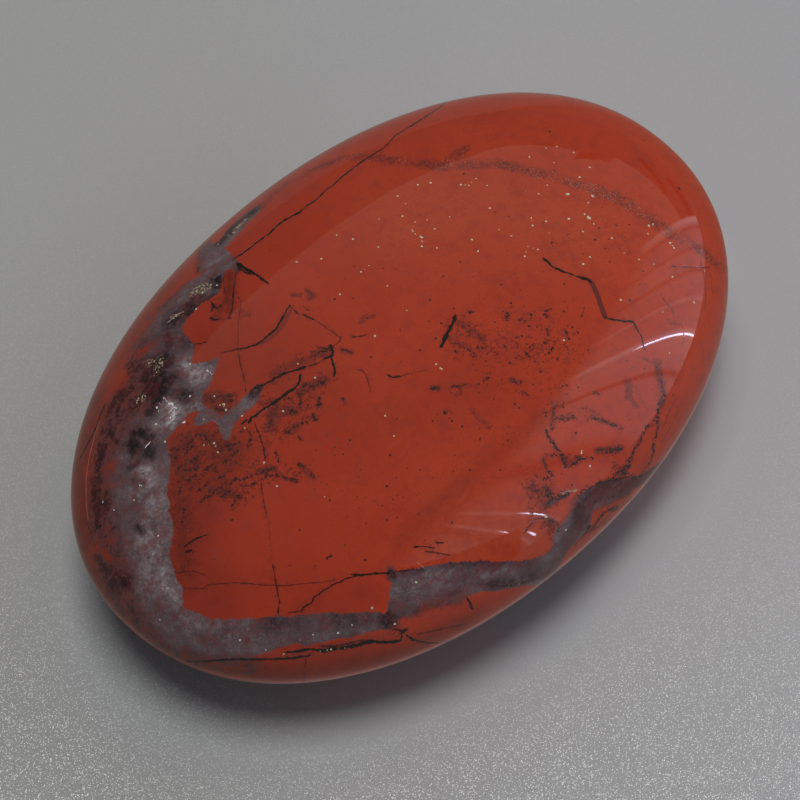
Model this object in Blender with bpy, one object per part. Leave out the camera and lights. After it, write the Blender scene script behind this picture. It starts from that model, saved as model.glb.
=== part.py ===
"""Red jasper palm stone: one polished oval pebble, domed above and below.

The stone lies on a small flat worn on its underside, with its long axis along
+X, its origin under the middle of its box and +Z up. Run it with
blender --background --python part.py, or from Blender's text editor.
"""

import math

import bmesh
import bpy
from mathutils import Vector

# Driving dimensions, in metres
LENGTH = 0.0700
WIDTH = 0.0462
CROWN_HEIGHT = 0.0120  # from the girdle, the stone's widest ring, to the top
BELLY_DEPTH = 0.0110  # from the girdle to the surface that the stone lies on
REST_WEAR = 0.0007  # what the rest flat takes off the full round underside

# Roundness: 2 is a true ellipse, and more is a fuller, squarer curve
PLAN_FULLNESS = 2.13
SIDE_FULLNESS = 2.10

# Slow swells that keep the outline from being a drawn oval, each as its
# number of crests, its share of the radius and the angle of a crest from +X
OUTLINE_SWELLS = (
    (3, 0.0028, math.radians(28.0)),
    (4, 0.0021, math.radians(13.0)),
)

BALL_SUBDIVISIONS = 5
SLIVER_LENGTH = 0.00004  # edges shorter than this, left by the flat, are merged

JASPER_RED = (0.262, 0.033, 0.017, 1.0)
JASPER_ROUGHNESS = 0.12


def clear_scene():
    """Removes every object of the startup scene."""
    for obj in list(bpy.data.objects):
        bpy.data.objects.remove(obj, do_unlink=True)


def outline_swell(angle):
    """The factor by which the outline stands out at an angle around +Z."""
    return 1.0 + sum(
        share * math.cos(crests * (angle - crest))
        for crests, share, crest in OUTLINE_SWELLS
    )


def on_stone(direction):
    """The point of the full round stone in a direction from its girdle's centre."""
    plan = abs(direction.x) ** PLAN_FULLNESS + abs(direction.y) ** PLAN_FULLNESS
    side = plan ** (SIDE_FULLNESS / PLAN_FULLNESS) + abs(direction.z) ** SIDE_FULLNESS
    reach = side ** (-1.0 / SIDE_FULLNESS)
    level = direction.x**2 + direction.y**2
    swell = 1.0 + (outline_swell(math.atan2(direction.y, direction.x)) - 1.0) * level
    height = CROWN_HEIGHT if direction.z > 0.0 else BELLY_DEPTH + REST_WEAR
    return Vector(
        (
            direction.x * reach * swell * LENGTH / 2.0,
            direction.y * reach * swell * WIDTH / 2.0,
            direction.z * reach * height,
        )
    )


def cut_rest_flat(stone):
    """Cuts the underside off level at the belly's depth and closes the cut."""
    cut = bmesh.ops.bisect_plane(
        stone,
        geom=stone.verts[:] + stone.edges[:] + stone.faces[:],
        plane_co=(0.0, 0.0, -BELLY_DEPTH),
        plane_no=(0.0, 0.0, -1.0),
        clear_outer=True,
    )
    rim = [item for item in cut["geom_cut"] if isinstance(item, bmesh.types.BMVert)]
    bmesh.ops.remove_doubles(stone, verts=rim, dist=SLIVER_LENGTH)
    open_edges = [edge for edge in stone.edges if edge.is_boundary]
    bmesh.ops.contextual_create(stone, geom=open_edges)


def centre_on_base(stone):
    """Moves the stone so that its box stands on z = 0 and is centred on the axes."""
    lowest = Vector([min(vert.co[axis] for vert in stone.verts) for axis in range(3)])
    highest = Vector([max(vert.co[axis] for vert in stone.verts) for axis in range(3)])
    middle = (lowest + highest) / 2.0
    move = Vector((-middle.x, -middle.y, -lowest.z))
    bmesh.ops.translate(stone, verts=stone.verts, vec=move)


def jasper_material():
    """The plain red of the polished jasper."""
    material = bpy.data.materials.new("red_jasper")
    material.use_nodes = True
    shader = material.node_tree.nodes["Principled BSDF"]
    shader.inputs["Base Color"].default_value = JASPER_RED
    shader.inputs["Roughness"].default_value = JASPER_ROUGHNESS
    shader.inputs["Metallic"].default_value = 0.0
    material.diffuse_color = JASPER_RED
    return material


def make_stone():
    """The whole stone, shaped from a ball of even triangles."""
    stone = bmesh.new()
    bmesh.ops.create_icosphere(stone, subdivisions=BALL_SUBDIVISIONS, radius=1.0)
    for vert in stone.verts:
        vert.co = on_stone(vert.co.normalized())
    cut_rest_flat(stone)
    centre_on_base(stone)
    bmesh.ops.recalc_face_normals(stone, faces=stone.faces)
    mesh = bpy.data.meshes.new("jasper_stone")
    stone.to_mesh(mesh)
    stone.free()
    mesh.shade_smooth()
    mesh.materials.append(jasper_material())
    obj = bpy.data.objects.new("jasper_stone", mesh)
    bpy.context.scene.collection.objects.link(obj)
    return obj


clear_scene()
make_stone()
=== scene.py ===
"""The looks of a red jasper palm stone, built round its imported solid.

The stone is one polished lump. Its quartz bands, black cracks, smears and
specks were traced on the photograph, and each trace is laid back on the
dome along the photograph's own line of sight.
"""

import logging
import math
from dataclasses import dataclass, field
from enum import Enum
from functools import reduce
from operator import add, or_
from typing import TypeAlias

import bmesh
import bpy
import numpy as np
from mathutils import Matrix, Vector
from mathutils.bvhtree import BVHTree
from mathutils.kdtree import KDTree


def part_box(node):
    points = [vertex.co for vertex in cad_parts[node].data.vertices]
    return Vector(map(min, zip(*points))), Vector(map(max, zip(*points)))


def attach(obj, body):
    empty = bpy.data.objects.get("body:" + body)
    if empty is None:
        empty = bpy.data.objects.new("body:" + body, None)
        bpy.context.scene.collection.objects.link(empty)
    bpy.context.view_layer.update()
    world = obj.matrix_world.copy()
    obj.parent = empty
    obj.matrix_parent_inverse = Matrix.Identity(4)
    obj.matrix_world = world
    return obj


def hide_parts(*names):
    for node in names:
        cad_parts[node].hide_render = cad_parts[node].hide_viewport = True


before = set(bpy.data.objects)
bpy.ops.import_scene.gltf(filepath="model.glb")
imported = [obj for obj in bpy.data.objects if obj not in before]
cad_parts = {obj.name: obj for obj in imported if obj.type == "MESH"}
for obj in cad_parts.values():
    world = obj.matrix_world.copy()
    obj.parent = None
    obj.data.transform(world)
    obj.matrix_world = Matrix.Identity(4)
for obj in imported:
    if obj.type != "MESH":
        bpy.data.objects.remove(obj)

LOG = logging.getLogger("jasper")
NODE = "jasper_stone"
MM = 0.001
GOLDEN_SHARE = 0.618  # steps round a circle that never fall into a pattern

Pixel = tuple[float, float]
Pixels = tuple[Pixel, ...]
Colour = tuple[float, float, float, float]
Triple = tuple[float, float, float]
Stops = tuple[tuple[float, Colour], ...]


@dataclass(frozen=True)
class PhotoCamera:
    """The camera of the photograph: where it stood and what each pixel sees.

    Lengths are in metres, the lens and the sensor in millimetres and angles in
    degrees, with azimuth 0 looking along +Y.
    """

    azimuth: float = -46.2
    elevation: float = 59.0
    distance: float = 0.5
    lens: float = 247.05
    sensor: float = 36.0
    frame_side: float = 800.0
    girdle_height: float = 0.011
    girdle_pixel: Pixel = (404.9, 381.8)
    clip: tuple[float, float] = (0.01, 20.0)

    @property
    def pixels_per_slope(self) -> float:
        """The pixels that a sight line moves by for a slope of one."""
        return self.lens / self.sensor * self.frame_side

    @property
    def axes(self) -> tuple[np.ndarray, np.ndarray, np.ndarray]:
        """The camera's right, up and backward directions."""
        turn, tilt = math.radians(self.azimuth), math.radians(self.elevation)
        right = np.array([math.cos(turn), math.sin(turn), 0.0])
        flat = math.cos(tilt)
        back = np.array([math.sin(turn) * flat, -math.cos(turn) * flat, math.sin(tilt)])
        return right, np.cross(back, right), back

    @property
    def away(self) -> np.ndarray:
        """The level part of the direction away from the camera."""
        _, _, back = self.axes
        return np.array([-back[0], -back[1], 0.0])

    @property
    def eye(self) -> np.ndarray:
        """Where the camera stands."""
        right, up, back = self.axes
        per_pixel = self.distance / self.pixels_per_slope
        middle = self.frame_side / 2.0
        across = (self.girdle_pixel[0] - middle) * per_pixel
        above = (middle - self.girdle_pixel[1]) * per_pixel
        girdle = np.array([0.0, 0.0, self.girdle_height])
        return girdle + back * self.distance - right * across - up * above

    def sight(self, pixel: Pixel) -> np.ndarray:
        """The direction in which a pixel looks.

        Args:
            pixel: The pixel's column and row in the photograph.

        Returns:
            A unit vector from the camera into the scene.
        """
        right, up, back = self.axes
        middle = self.frame_side / 2.0
        across = (pixel[0] - middle) / self.pixels_per_slope
        above = (middle - pixel[1]) / self.pixels_per_slope
        line = right * across + up * above - back
        return line / np.linalg.norm(line)

    def pixels_of(self, points: np.ndarray) -> np.ndarray:
        """Where points show in the photograph.

        Args:
            points: Positions, one to a row.

        Returns:
            The column and row of each point's pixel.
        """
        right, up, back = self.axes
        seen = points - self.eye
        scale = self.pixels_per_slope / -(seen @ back)
        middle = self.frame_side / 2.0
        return np.stack([middle + (seen @ right) * scale, middle - (seen @ up) * scale], 1)

    def build(self) -> None:
        """Makes the scene's camera."""
        data = bpy.data.cameras.new("photo_camera")
        data.lens = self.lens
        data.sensor_width = self.sensor
        data.clip_start, data.clip_end = self.clip
        camera = bpy.data.objects.new("photo_camera", data)
        turn = Matrix([Vector(axis) for axis in self.axes]).transposed().to_4x4()
        camera.matrix_world = Matrix.Translation(Vector(self.eye)) @ turn
        bpy.context.scene.collection.objects.link(camera)
        bpy.context.scene.camera = camera


@dataclass(frozen=True)
class StoneForm:
    """The rounded form of the stone, in metres, as its solid has it.

    The girdle is the widest ring. A fullness of 2 is a true ellipse, and more
    is squarer. A swell is its number of crests, its share of the radius and
    the angle of a crest from +X.
    """

    length: float = 0.0700
    width: float = 0.0462
    crown_height: float = 0.0120
    belly_depth: float = 0.0110
    rest_wear: float = 0.0007
    plan_fullness: float = 2.13
    side_fullness: float = 2.10
    swells: tuple[tuple[int, float, float], ...] = (
        (3, 0.0028, math.radians(28.0)),
        (4, 0.0021, math.radians(13.0)),
    )
    # Rows of faces along X, Y and Z of the ball that the stone is shaped from
    rows: tuple[int, int, int] = (200, 132, 60)

    def place(self, directions: np.ndarray) -> np.ndarray:
        """Puts directions from the girdle's centre on the stone's surface.

        Args:
            directions: Unit vectors, one to a row.

        Returns:
            The surface points, measured from the girdle's centre, with the
            underside worn flat where the stone rests.
        """
        x, y, z = directions.T
        plan = np.abs(x) ** self.plan_fullness + np.abs(y) ** self.plan_fullness
        side = plan ** (self.side_fullness / self.plan_fullness)
        side = side + np.abs(z) ** self.side_fullness
        reach = side ** (-1.0 / self.side_fullness)
        angle = np.arctan2(y, x)
        swell = np.ones_like(x)
        for crests, share, crest in self.swells:
            swell += share * np.cos(crests * (angle - crest)) * (x * x + y * y)
        height = np.where(z > 0.0, self.crown_height, self.belly_depth + self.rest_wear)
        level = np.maximum(z * reach * height, -self.belly_depth)
        across = reach * swell / 2.0
        return np.stack([x * across * self.length, y * across * self.width, level], 1)

    def build_mesh(self) -> bpy.types.Mesh:
        """Shapes the stone from a cube whose faces are cut into even rows.

        Returns:
            A closed mesh, fitted to the box of the stone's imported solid.
        """
        ball = bmesh.new()
        bmesh.ops.create_cube(ball, size=2.0)
        for axis, rows in enumerate(self.rows):
            along = [
                edge
                for edge in ball.edges
                if abs(edge.verts[0].co[axis] - edge.verts[1].co[axis]) > 1.0
            ]
            bmesh.ops.subdivide_edges(ball, edges=along, cuts=rows - 1, use_grid_fill=True)
        bmesh.ops.recalc_face_normals(ball, faces=ball.faces)
        mesh = bpy.data.meshes.new("polished_jasper")
        ball.to_mesh(mesh)
        ball.free()
        even = np.tan(points_of(mesh) * math.pi / 4.0)
        directions = even / np.linalg.norm(even, axis=1, keepdims=True)
        points = self.fit_to_solid(self.place(directions))
        mesh.vertices.foreach_set("co", points.ravel())
        mesh.update()
        mesh.shade_smooth()
        return mesh

    @staticmethod
    def fit_to_solid(points: np.ndarray) -> np.ndarray:
        """Stretches points by a hair, so that their box is the solid's box.

        Args:
            points: The surface points.

        Returns:
            The points in the row's frame.
        """
        low, high = (np.array(corner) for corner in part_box(NODE))
        mine_low, mine_high = points.min(axis=0), points.max(axis=0)
        share = (points - mine_low) / (mine_high - mine_low)
        return low + share * (high - low)


def points_of(mesh: bpy.types.Mesh) -> np.ndarray:
    """Reads where a mesh's points are.

    Args:
        mesh: The mesh.

    Returns:
        The positions, one to a row.
    """
    flat = np.empty(len(mesh.vertices) * 3)
    mesh.vertices.foreach_get("co", flat)
    return flat.reshape(-1, 3)


class Side(Enum):
    """The sides of the stone that a sight line meets."""

    FRONT = "front"
    BACK = "back"


@dataclass(frozen=True)
class Mark:
    """A line of pixels on the stone, as a crack or as the spine of a soft patch.

    The size is a crack's width or a patch's reach in millimetres, and the
    strength is how dark or how strong it is. One that goes through lies on the
    far side too.
    """

    size: float
    strength: float
    pixels: Pixels
    through: bool = False


@dataclass
class Path:
    """A line laid on the stone, as close points with their run and normal."""

    points: np.ndarray
    runs: np.ndarray
    normals: np.ndarray


@dataclass
class Tracer:
    """Lays lines of pixels on the stone along the photograph's sight lines."""

    camera: PhotoCamera
    surface: BVHTree
    step: float = 0.5  # pixels between two sight lines
    far_enough: float = 1.0  # metres, well past the stone

    def meet(self, pixel: Pixel, side: Side) -> tuple[Vector, Vector] | None:
        """Finds where a pixel's sight line enters or leaves the stone.

        Args:
            pixel: The pixel's column and row.
            side: The side of the stone that is wanted.

        Returns:
            The point and its normal, or None where the line misses.
        """
        eye, line = Vector(self.camera.eye), Vector(self.camera.sight(pixel))
        if side is Side.BACK:
            eye, line = eye + line * self.far_enough, -line
        point, normal, _, _ = self.surface.ray_cast(eye, line)
        return None if point is None else (point, normal)

    def lay(self, pixels: Pixels, side: Side) -> list[Path]:
        """Lays a line of pixels on one side of the stone.

        Args:
            pixels: The line's corners.
            side: The side of the stone.

        Returns:
            The stretches of the line that meet the stone.
        """
        stretches: list[list[tuple[Vector, Vector]]] = [[]]
        for start, end in zip(pixels, pixels[1:]):
            count = max(1, round(math.dist(start, end) / self.step))
            for index in range(count + (end is pixels[-1])):
                share = index / count
                met = self.meet(
                    (
                        start[0] + (end[0] - start[0]) * share,
                        start[1] + (end[1] - start[1]) * share,
                    ),
                    side,
                )
                if met is None:
                    stretches.append([])
                else:
                    stretches[-1].append(met)
        paths = []
        for stretch in stretches:
            if len(stretch) > 1:
                points, normals = (np.array(part) for part in zip(*stretch))
                runs = np.gradient(points, axis=0)
                runs /= np.maximum(np.linalg.norm(runs, axis=1, keepdims=True), 1e-9)
                paths.append(Path(points, runs, normals))
        return paths


def marks(*rows: tuple[float | Pixel, ...], through: int = 0) -> tuple[Mark, ...]:
    """Reads marks from rows of a size, a strength and the line's pixels.

    Args:
        rows: The rows.
        through: How many of them, from the first, lie on the far side too.

    Returns:
        The marks.
    """
    return tuple(
        Mark(size, strength, tuple(pixels), index < through)
        for index, (size, strength, *pixels) in enumerate(rows)
    )


@dataclass(frozen=True)
class JasperFinish:
    """The polished jasper: its colours, as linear light, and its gloss."""

    red: Colour = (0.455, 0.0385, 0.0133, 1.0)
    bright_red: Colour = (0.515, 0.050, 0.0185, 1.0)
    deep_red: Colour = (0.30, 0.022, 0.009, 1.0)
    # A brown red, also laid on as painted shade towards the left
    brown_red_and_shade: Colour = (0.165, 0.018, 0.010, 1.0)
    crack_black: Colour = (0.009, 0.005, 0.005, 1.0)
    stain: Colour = (0.16, 0.018, 0.014, 1.0)
    film: Colour = (0.135, 0.022, 0.019, 1.0)
    plum: Colour = (0.060, 0.018, 0.020, 1.0)
    fleck: Colour = (0.024, 0.009, 0.009, 1.0)
    crackle: Colour = (0.060, 0.011, 0.009, 1.0)
    purple_red: Colour = (0.36, 0.040, 0.026, 1.0)
    # Painted light: the red where the right side is lit
    lit_rich_red: Colour = (0.62, 0.064, 0.024, 1.0)
    pale_red: Colour = (0.50, 0.070, 0.028, 1.0)
    veil: Colour = (0.150, 0.026, 0.021, 1.0)
    veil_grit: Colour = (0.075, 0.019, 0.017, 1.0)
    veil_dust: Colour = (0.46, 0.20, 0.15, 1.0)
    pale_line: Colour = (0.50, 0.24, 0.21, 1.0)
    cream: Colour = (0.72, 0.76, 0.50, 1.0)
    white: Colour = (0.92, 0.93, 0.95, 1.0)
    dot: Colour = (0.018, 0.016, 0.011, 1.0)
    blush: Colour = (0.165, 0.036, 0.036, 1.0)
    gloss: float = 0.02
    crack_gloss: float = 0.16
    quartz_gloss: float = 0.02  # what the quartz adds to the gloss
    crack_depth: float = 0.00004
    crack_relief: float = 0.35
    ior: float = 1.54
    grain_slope: float = math.radians(38.0)  # of the fine crackle, up to the right
    quartz: Stops = (
        (0.00, (0.012, 0.007, 0.008, 1.0)),
        (0.22, (0.050, 0.027, 0.034, 1.0)),
        (0.42, (0.128, 0.083, 0.090, 1.0)),
        (0.62, (0.240, 0.190, 0.196, 1.0)),
        (0.80, (0.415, 0.360, 0.375, 1.0)),
        (1.00, (0.84, 0.81, 0.84, 1.0)),
    )
    murk: Stops = (
        (0.16, (0.008, 0.004, 0.005, 1.0)),
        (0.36, (0.034, 0.009, 0.011, 1.0)),
        (0.46, (0.085, 0.020, 0.020, 1.0)),
        (0.54, (0.120, 0.046, 0.046, 1.0)),
        (0.64, (0.185, 0.027, 0.018, 1.0)),
        (0.84, (0.330, 0.030, 0.012, 1.0)),
    )
    crystal: Stops = (
        (0.40, (0.030, 0.015, 0.010, 1.0)),
        (0.52, (0.110, 0.058, 0.034, 1.0)),
        (0.60, (0.350, 0.260, 0.155, 1.0)),
        (0.72, (0.760, 0.680, 0.480, 1.0)),
    )


# The band of grey quartz along the left and lower edge, round its outline
GREAT_BAND: Pixels = (
    (203, 246), (213, 243), (222, 246), (229, 252), (235, 258), (243, 266), (243, 272), (236, 272),
    (229, 268), (224, 272), (222, 284), (220, 292), (211, 299), (200, 304), (190, 315), (181, 328),
    (192, 342), (195, 345), (194, 354), (191, 365), (200, 363), (213, 360), (220, 356), (216, 368),
    (210, 386), (203, 391), (201, 402), (208, 408), (213, 408), (218, 413), (220, 418), (217, 424),
    (213, 420.5), (207, 423), (200, 426), (193.5, 425.5), (192, 422), (195, 418), (199, 414), (201, 410),
    (196, 411), (191, 412.5), (187, 415.5), (184.5, 420), (180, 425.5), (175, 428), (174, 432),
    (169, 437), (166, 438), (168, 446), (171, 462), (169, 478), (166, 494), (170, 504), (169, 511),
    (174, 526), (172, 538), (169, 554), (172, 562), (176, 578), (184, 588), (181, 594), (183.5, 608),
    (199, 613.5), (212, 619), (228, 619), (259, 618), (279, 616), (292, 616), (302, 615), (310, 613),
    (329, 612.5), (345, 613.5), (360, 612), (371, 611.4), (379, 610), (381, 614), (386, 613), (388, 604),
    (390.5, 591), (391, 581), (386, 574), (389, 569.5), (394, 570), (399, 572), (413, 569), (431, 565.5),
    (451, 562.5), (469, 561.4), (495, 561.4), (518, 560.7), (533, 559), (544.5, 555), (551, 548.6),
    (552, 540), (556, 529), (566, 519), (573, 508), (577, 496), (585, 490), (597, 484), (606, 481),
    (619, 479), (629, 479), (640, 476), (650, 469), (664, 458), (668, 470), (648, 482), (634, 489),
    (619, 496), (604, 503), (594, 509), (591, 521), (590, 529), (580, 538), (568, 551), (560, 565),
    (562, 584), (545, 586), (530, 585), (507, 589), (482, 592), (465, 597), (446, 600), (424, 603),
    (414, 610), (408, 620), (399, 619), (396, 627), (392, 630), (375, 631), (355, 636), (329, 641),
    (316, 643), (306, 647), (296, 643), (285, 646), (265, 653), (240, 656), (215, 658), (197, 653),
    (171, 645), (151, 624), (140, 602), (134, 582), (127, 560), (120, 530), (114, 500), (115, 470),
    (120, 445), (130, 425), (146, 410), (156, 395), (158, 380), (152, 364), (150, 350), (152, 331),
    (163, 311), (177, 299), (188, 286), (196, 279), (205, 271), (206, 256),
)
RIM_SLIVER: Pixels = (
    (215, 246), (225, 232), (238, 219), (250, 210), (262, 203), (259, 212), (247, 224), (236, 236),
    (226, 247),
)
WEDGE: Pixels = (
    (227.5, 441.5), (222, 436), (219, 431), (216.5, 424), (216, 419), (220, 417.5), (226, 413.5),
    (234, 406), (242, 398), (250, 390), (255, 386.5), (259, 384.5), (264, 383.5), (263, 388),
    (260.5, 392), (258, 400), (254, 405.5), (248, 410), (242, 415), (236, 421), (233, 428), (230, 436),
)
# Where the quartz is milky, where it is dark and smoky, and where its edge is lost
MILKY = marks(
    (0.9, 1.0, (168, 403), (172, 420)), (1.0, 0.6, (186, 366), (200, 374)),
    (0.7, 0.45, (160, 424), (176, 430)), (0.8, 0.35, (199, 404), (180, 414)),
    (1.1, 0.6, (143, 472), (148, 480)), (1.4, 0.35, (138, 492), (154, 505), (150, 530)),
    (0.6, 0.7, (142, 536), (150, 534)), (1.9, 0.42, (150, 552), (158, 575), (168, 590)),
    (1.4, 0.3, (176, 604), (196, 622)), (1.9, 0.32, (158, 495), (163, 530), (160, 560)),
    (1.5, 0.3, (215, 632), (245, 632)), (1.1, 0.26, (404, 590), (420, 580), (450, 572)),
    (1.0, 0.3, (480, 575), (500, 571)), (1.0, 0.25, (563, 522), (557, 533)),
    (0.9, 0.12, (222, 256), (212, 263)), (0.4, 1.1, (197, 292), (206, 287)),
)
SMOKY = marks(
    (0.55, 1.0, (134, 433), (147, 434), (152, 440)), (0.6, 0.9, (130, 443), (138, 451)),
    (0.6, 0.9, (146, 449), (150, 457)), (0.6, 1.0, (174, 395), (188, 396)),
    (1.2, 1.1, (160, 364), (156, 378), (158, 396)), (0.8, 0.6, (166, 384), (174, 376)),
    (0.9, 0.6, (148, 396), (152, 410)), (0.4, 1.0, (168, 335), (170, 344)),
    (1.2, 0.3, (172, 330), (190, 345)), (0.9, 0.8, (196, 300), (186, 310), (172, 322)),
    (0.5, 1.0, (216, 278), (221, 286)), (0.7, 0.5, (205, 300), (215, 296)),
    (0.45, 1.0, (122, 584), (126, 583)), (0.35, 0.8, (138, 527), (144, 534)),
    (0.4, 0.6, (136, 478), (142, 484)), (0.5, 0.7, (262, 386), (252, 394)),
    (0.8, 0.22, (260, 625), (300, 620), (372, 617)), (0.45, 1.0, (390, 573), (392, 576)),
    (0.9, 0.65, (386, 618), (392, 628)), (0.55, 0.4, (480, 584), (510, 582), (550, 574)),
    (0.5, 0.35, (404, 571), (460, 563), (530, 561)), (1.1, 0.95, (592, 492), (612, 484), (640, 480)),
    (0.9, 0.5, (580, 500), (582, 518)), (0.5, 1.0, (260, 385), (254, 391)),
    (0.4, 0.9, (240, 268), (243, 272)), (0.55, 0.85, (220, 242), (240, 222), (259, 206)),
    (0.8, 1.0, (645, 474), (664, 462)),
)
LOST_EDGE = marks(
    (0.9, 0.7, (190, 284), (165, 306), (150, 324)),
    (2.2, 1.0, (150, 326), (140, 340), (134, 362), (130, 392)),
    (3.2, 1.0, (128, 392), (108, 440), (100, 500), (104, 550), (122, 600)),
    (2.2, 1.0, (122, 600), (150, 636), (185, 660), (240, 668)),
    (0.6, 0.35, (285, 656), (330, 650), (385, 638), (400, 626)),
    (0.9, 0.6, (412, 612), (430, 604), (460, 599)), (0.9, 0.8, (204, 246), (203, 268)),
    (0.9, 0.45, (560, 540), (570, 520), (574, 505)), (0.7, 0.6, (598, 505), (630, 492)),
)
# Where the murk beyond the lost edge is redder, and where it is black
EMBERS = marks(
    (0.7, 1.0, (104, 470), (114, 466)), (0.8, 1.0, (98, 552), (108, 554)),
    (0.35, 1.0, (98, 487), (116, 486)), (0.6, 1.3, (139, 352), (156, 343)),
    (0.9, 0.2, (126, 436), (116, 452)), (1.4, 0.1, (110, 520), (116, 545)),
    (1.8, 0.1, (104, 580), (118, 606), (138, 632)), (1.5, 0.7, (150, 645), (180, 662), (240, 670)),
    (1.2, 0.7, (150, 318), (128, 352)), (0.5, 0.8, (94, 462), (95, 480)),
    (0.9, 0.75, (596, 494), (622, 486), (645, 479)), (1.0, 0.45, (568, 548), (582, 524), (586, 508)),
    (0.6, 0.6, (430, 598), (470, 591)), (0.8, 0.8, (645, 476), (664, 463)),
)
SOOT = marks(
    (1.1, 0.7, (162, 366), (150, 384), (160, 392)), (0.5, 1.0, (100, 406), (104, 416)),
    (0.8, 0.6, (99, 455), (97, 474), (99, 492)), (0.4, 1.4, (124, 583), (125, 584)),
    (0.35, 1.2, (95, 557), (102, 560)), (0.6, 0.6, (110, 408), (118, 396)),
    (0.3, 0.8, (131, 468), (138, 462)), (0.6, 0.9, (188, 305), (196, 300)),
    (0.7, 0.8, (176, 318), (190, 310)), (0.7, 0.6, (104, 566), (116, 584)),
)
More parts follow.
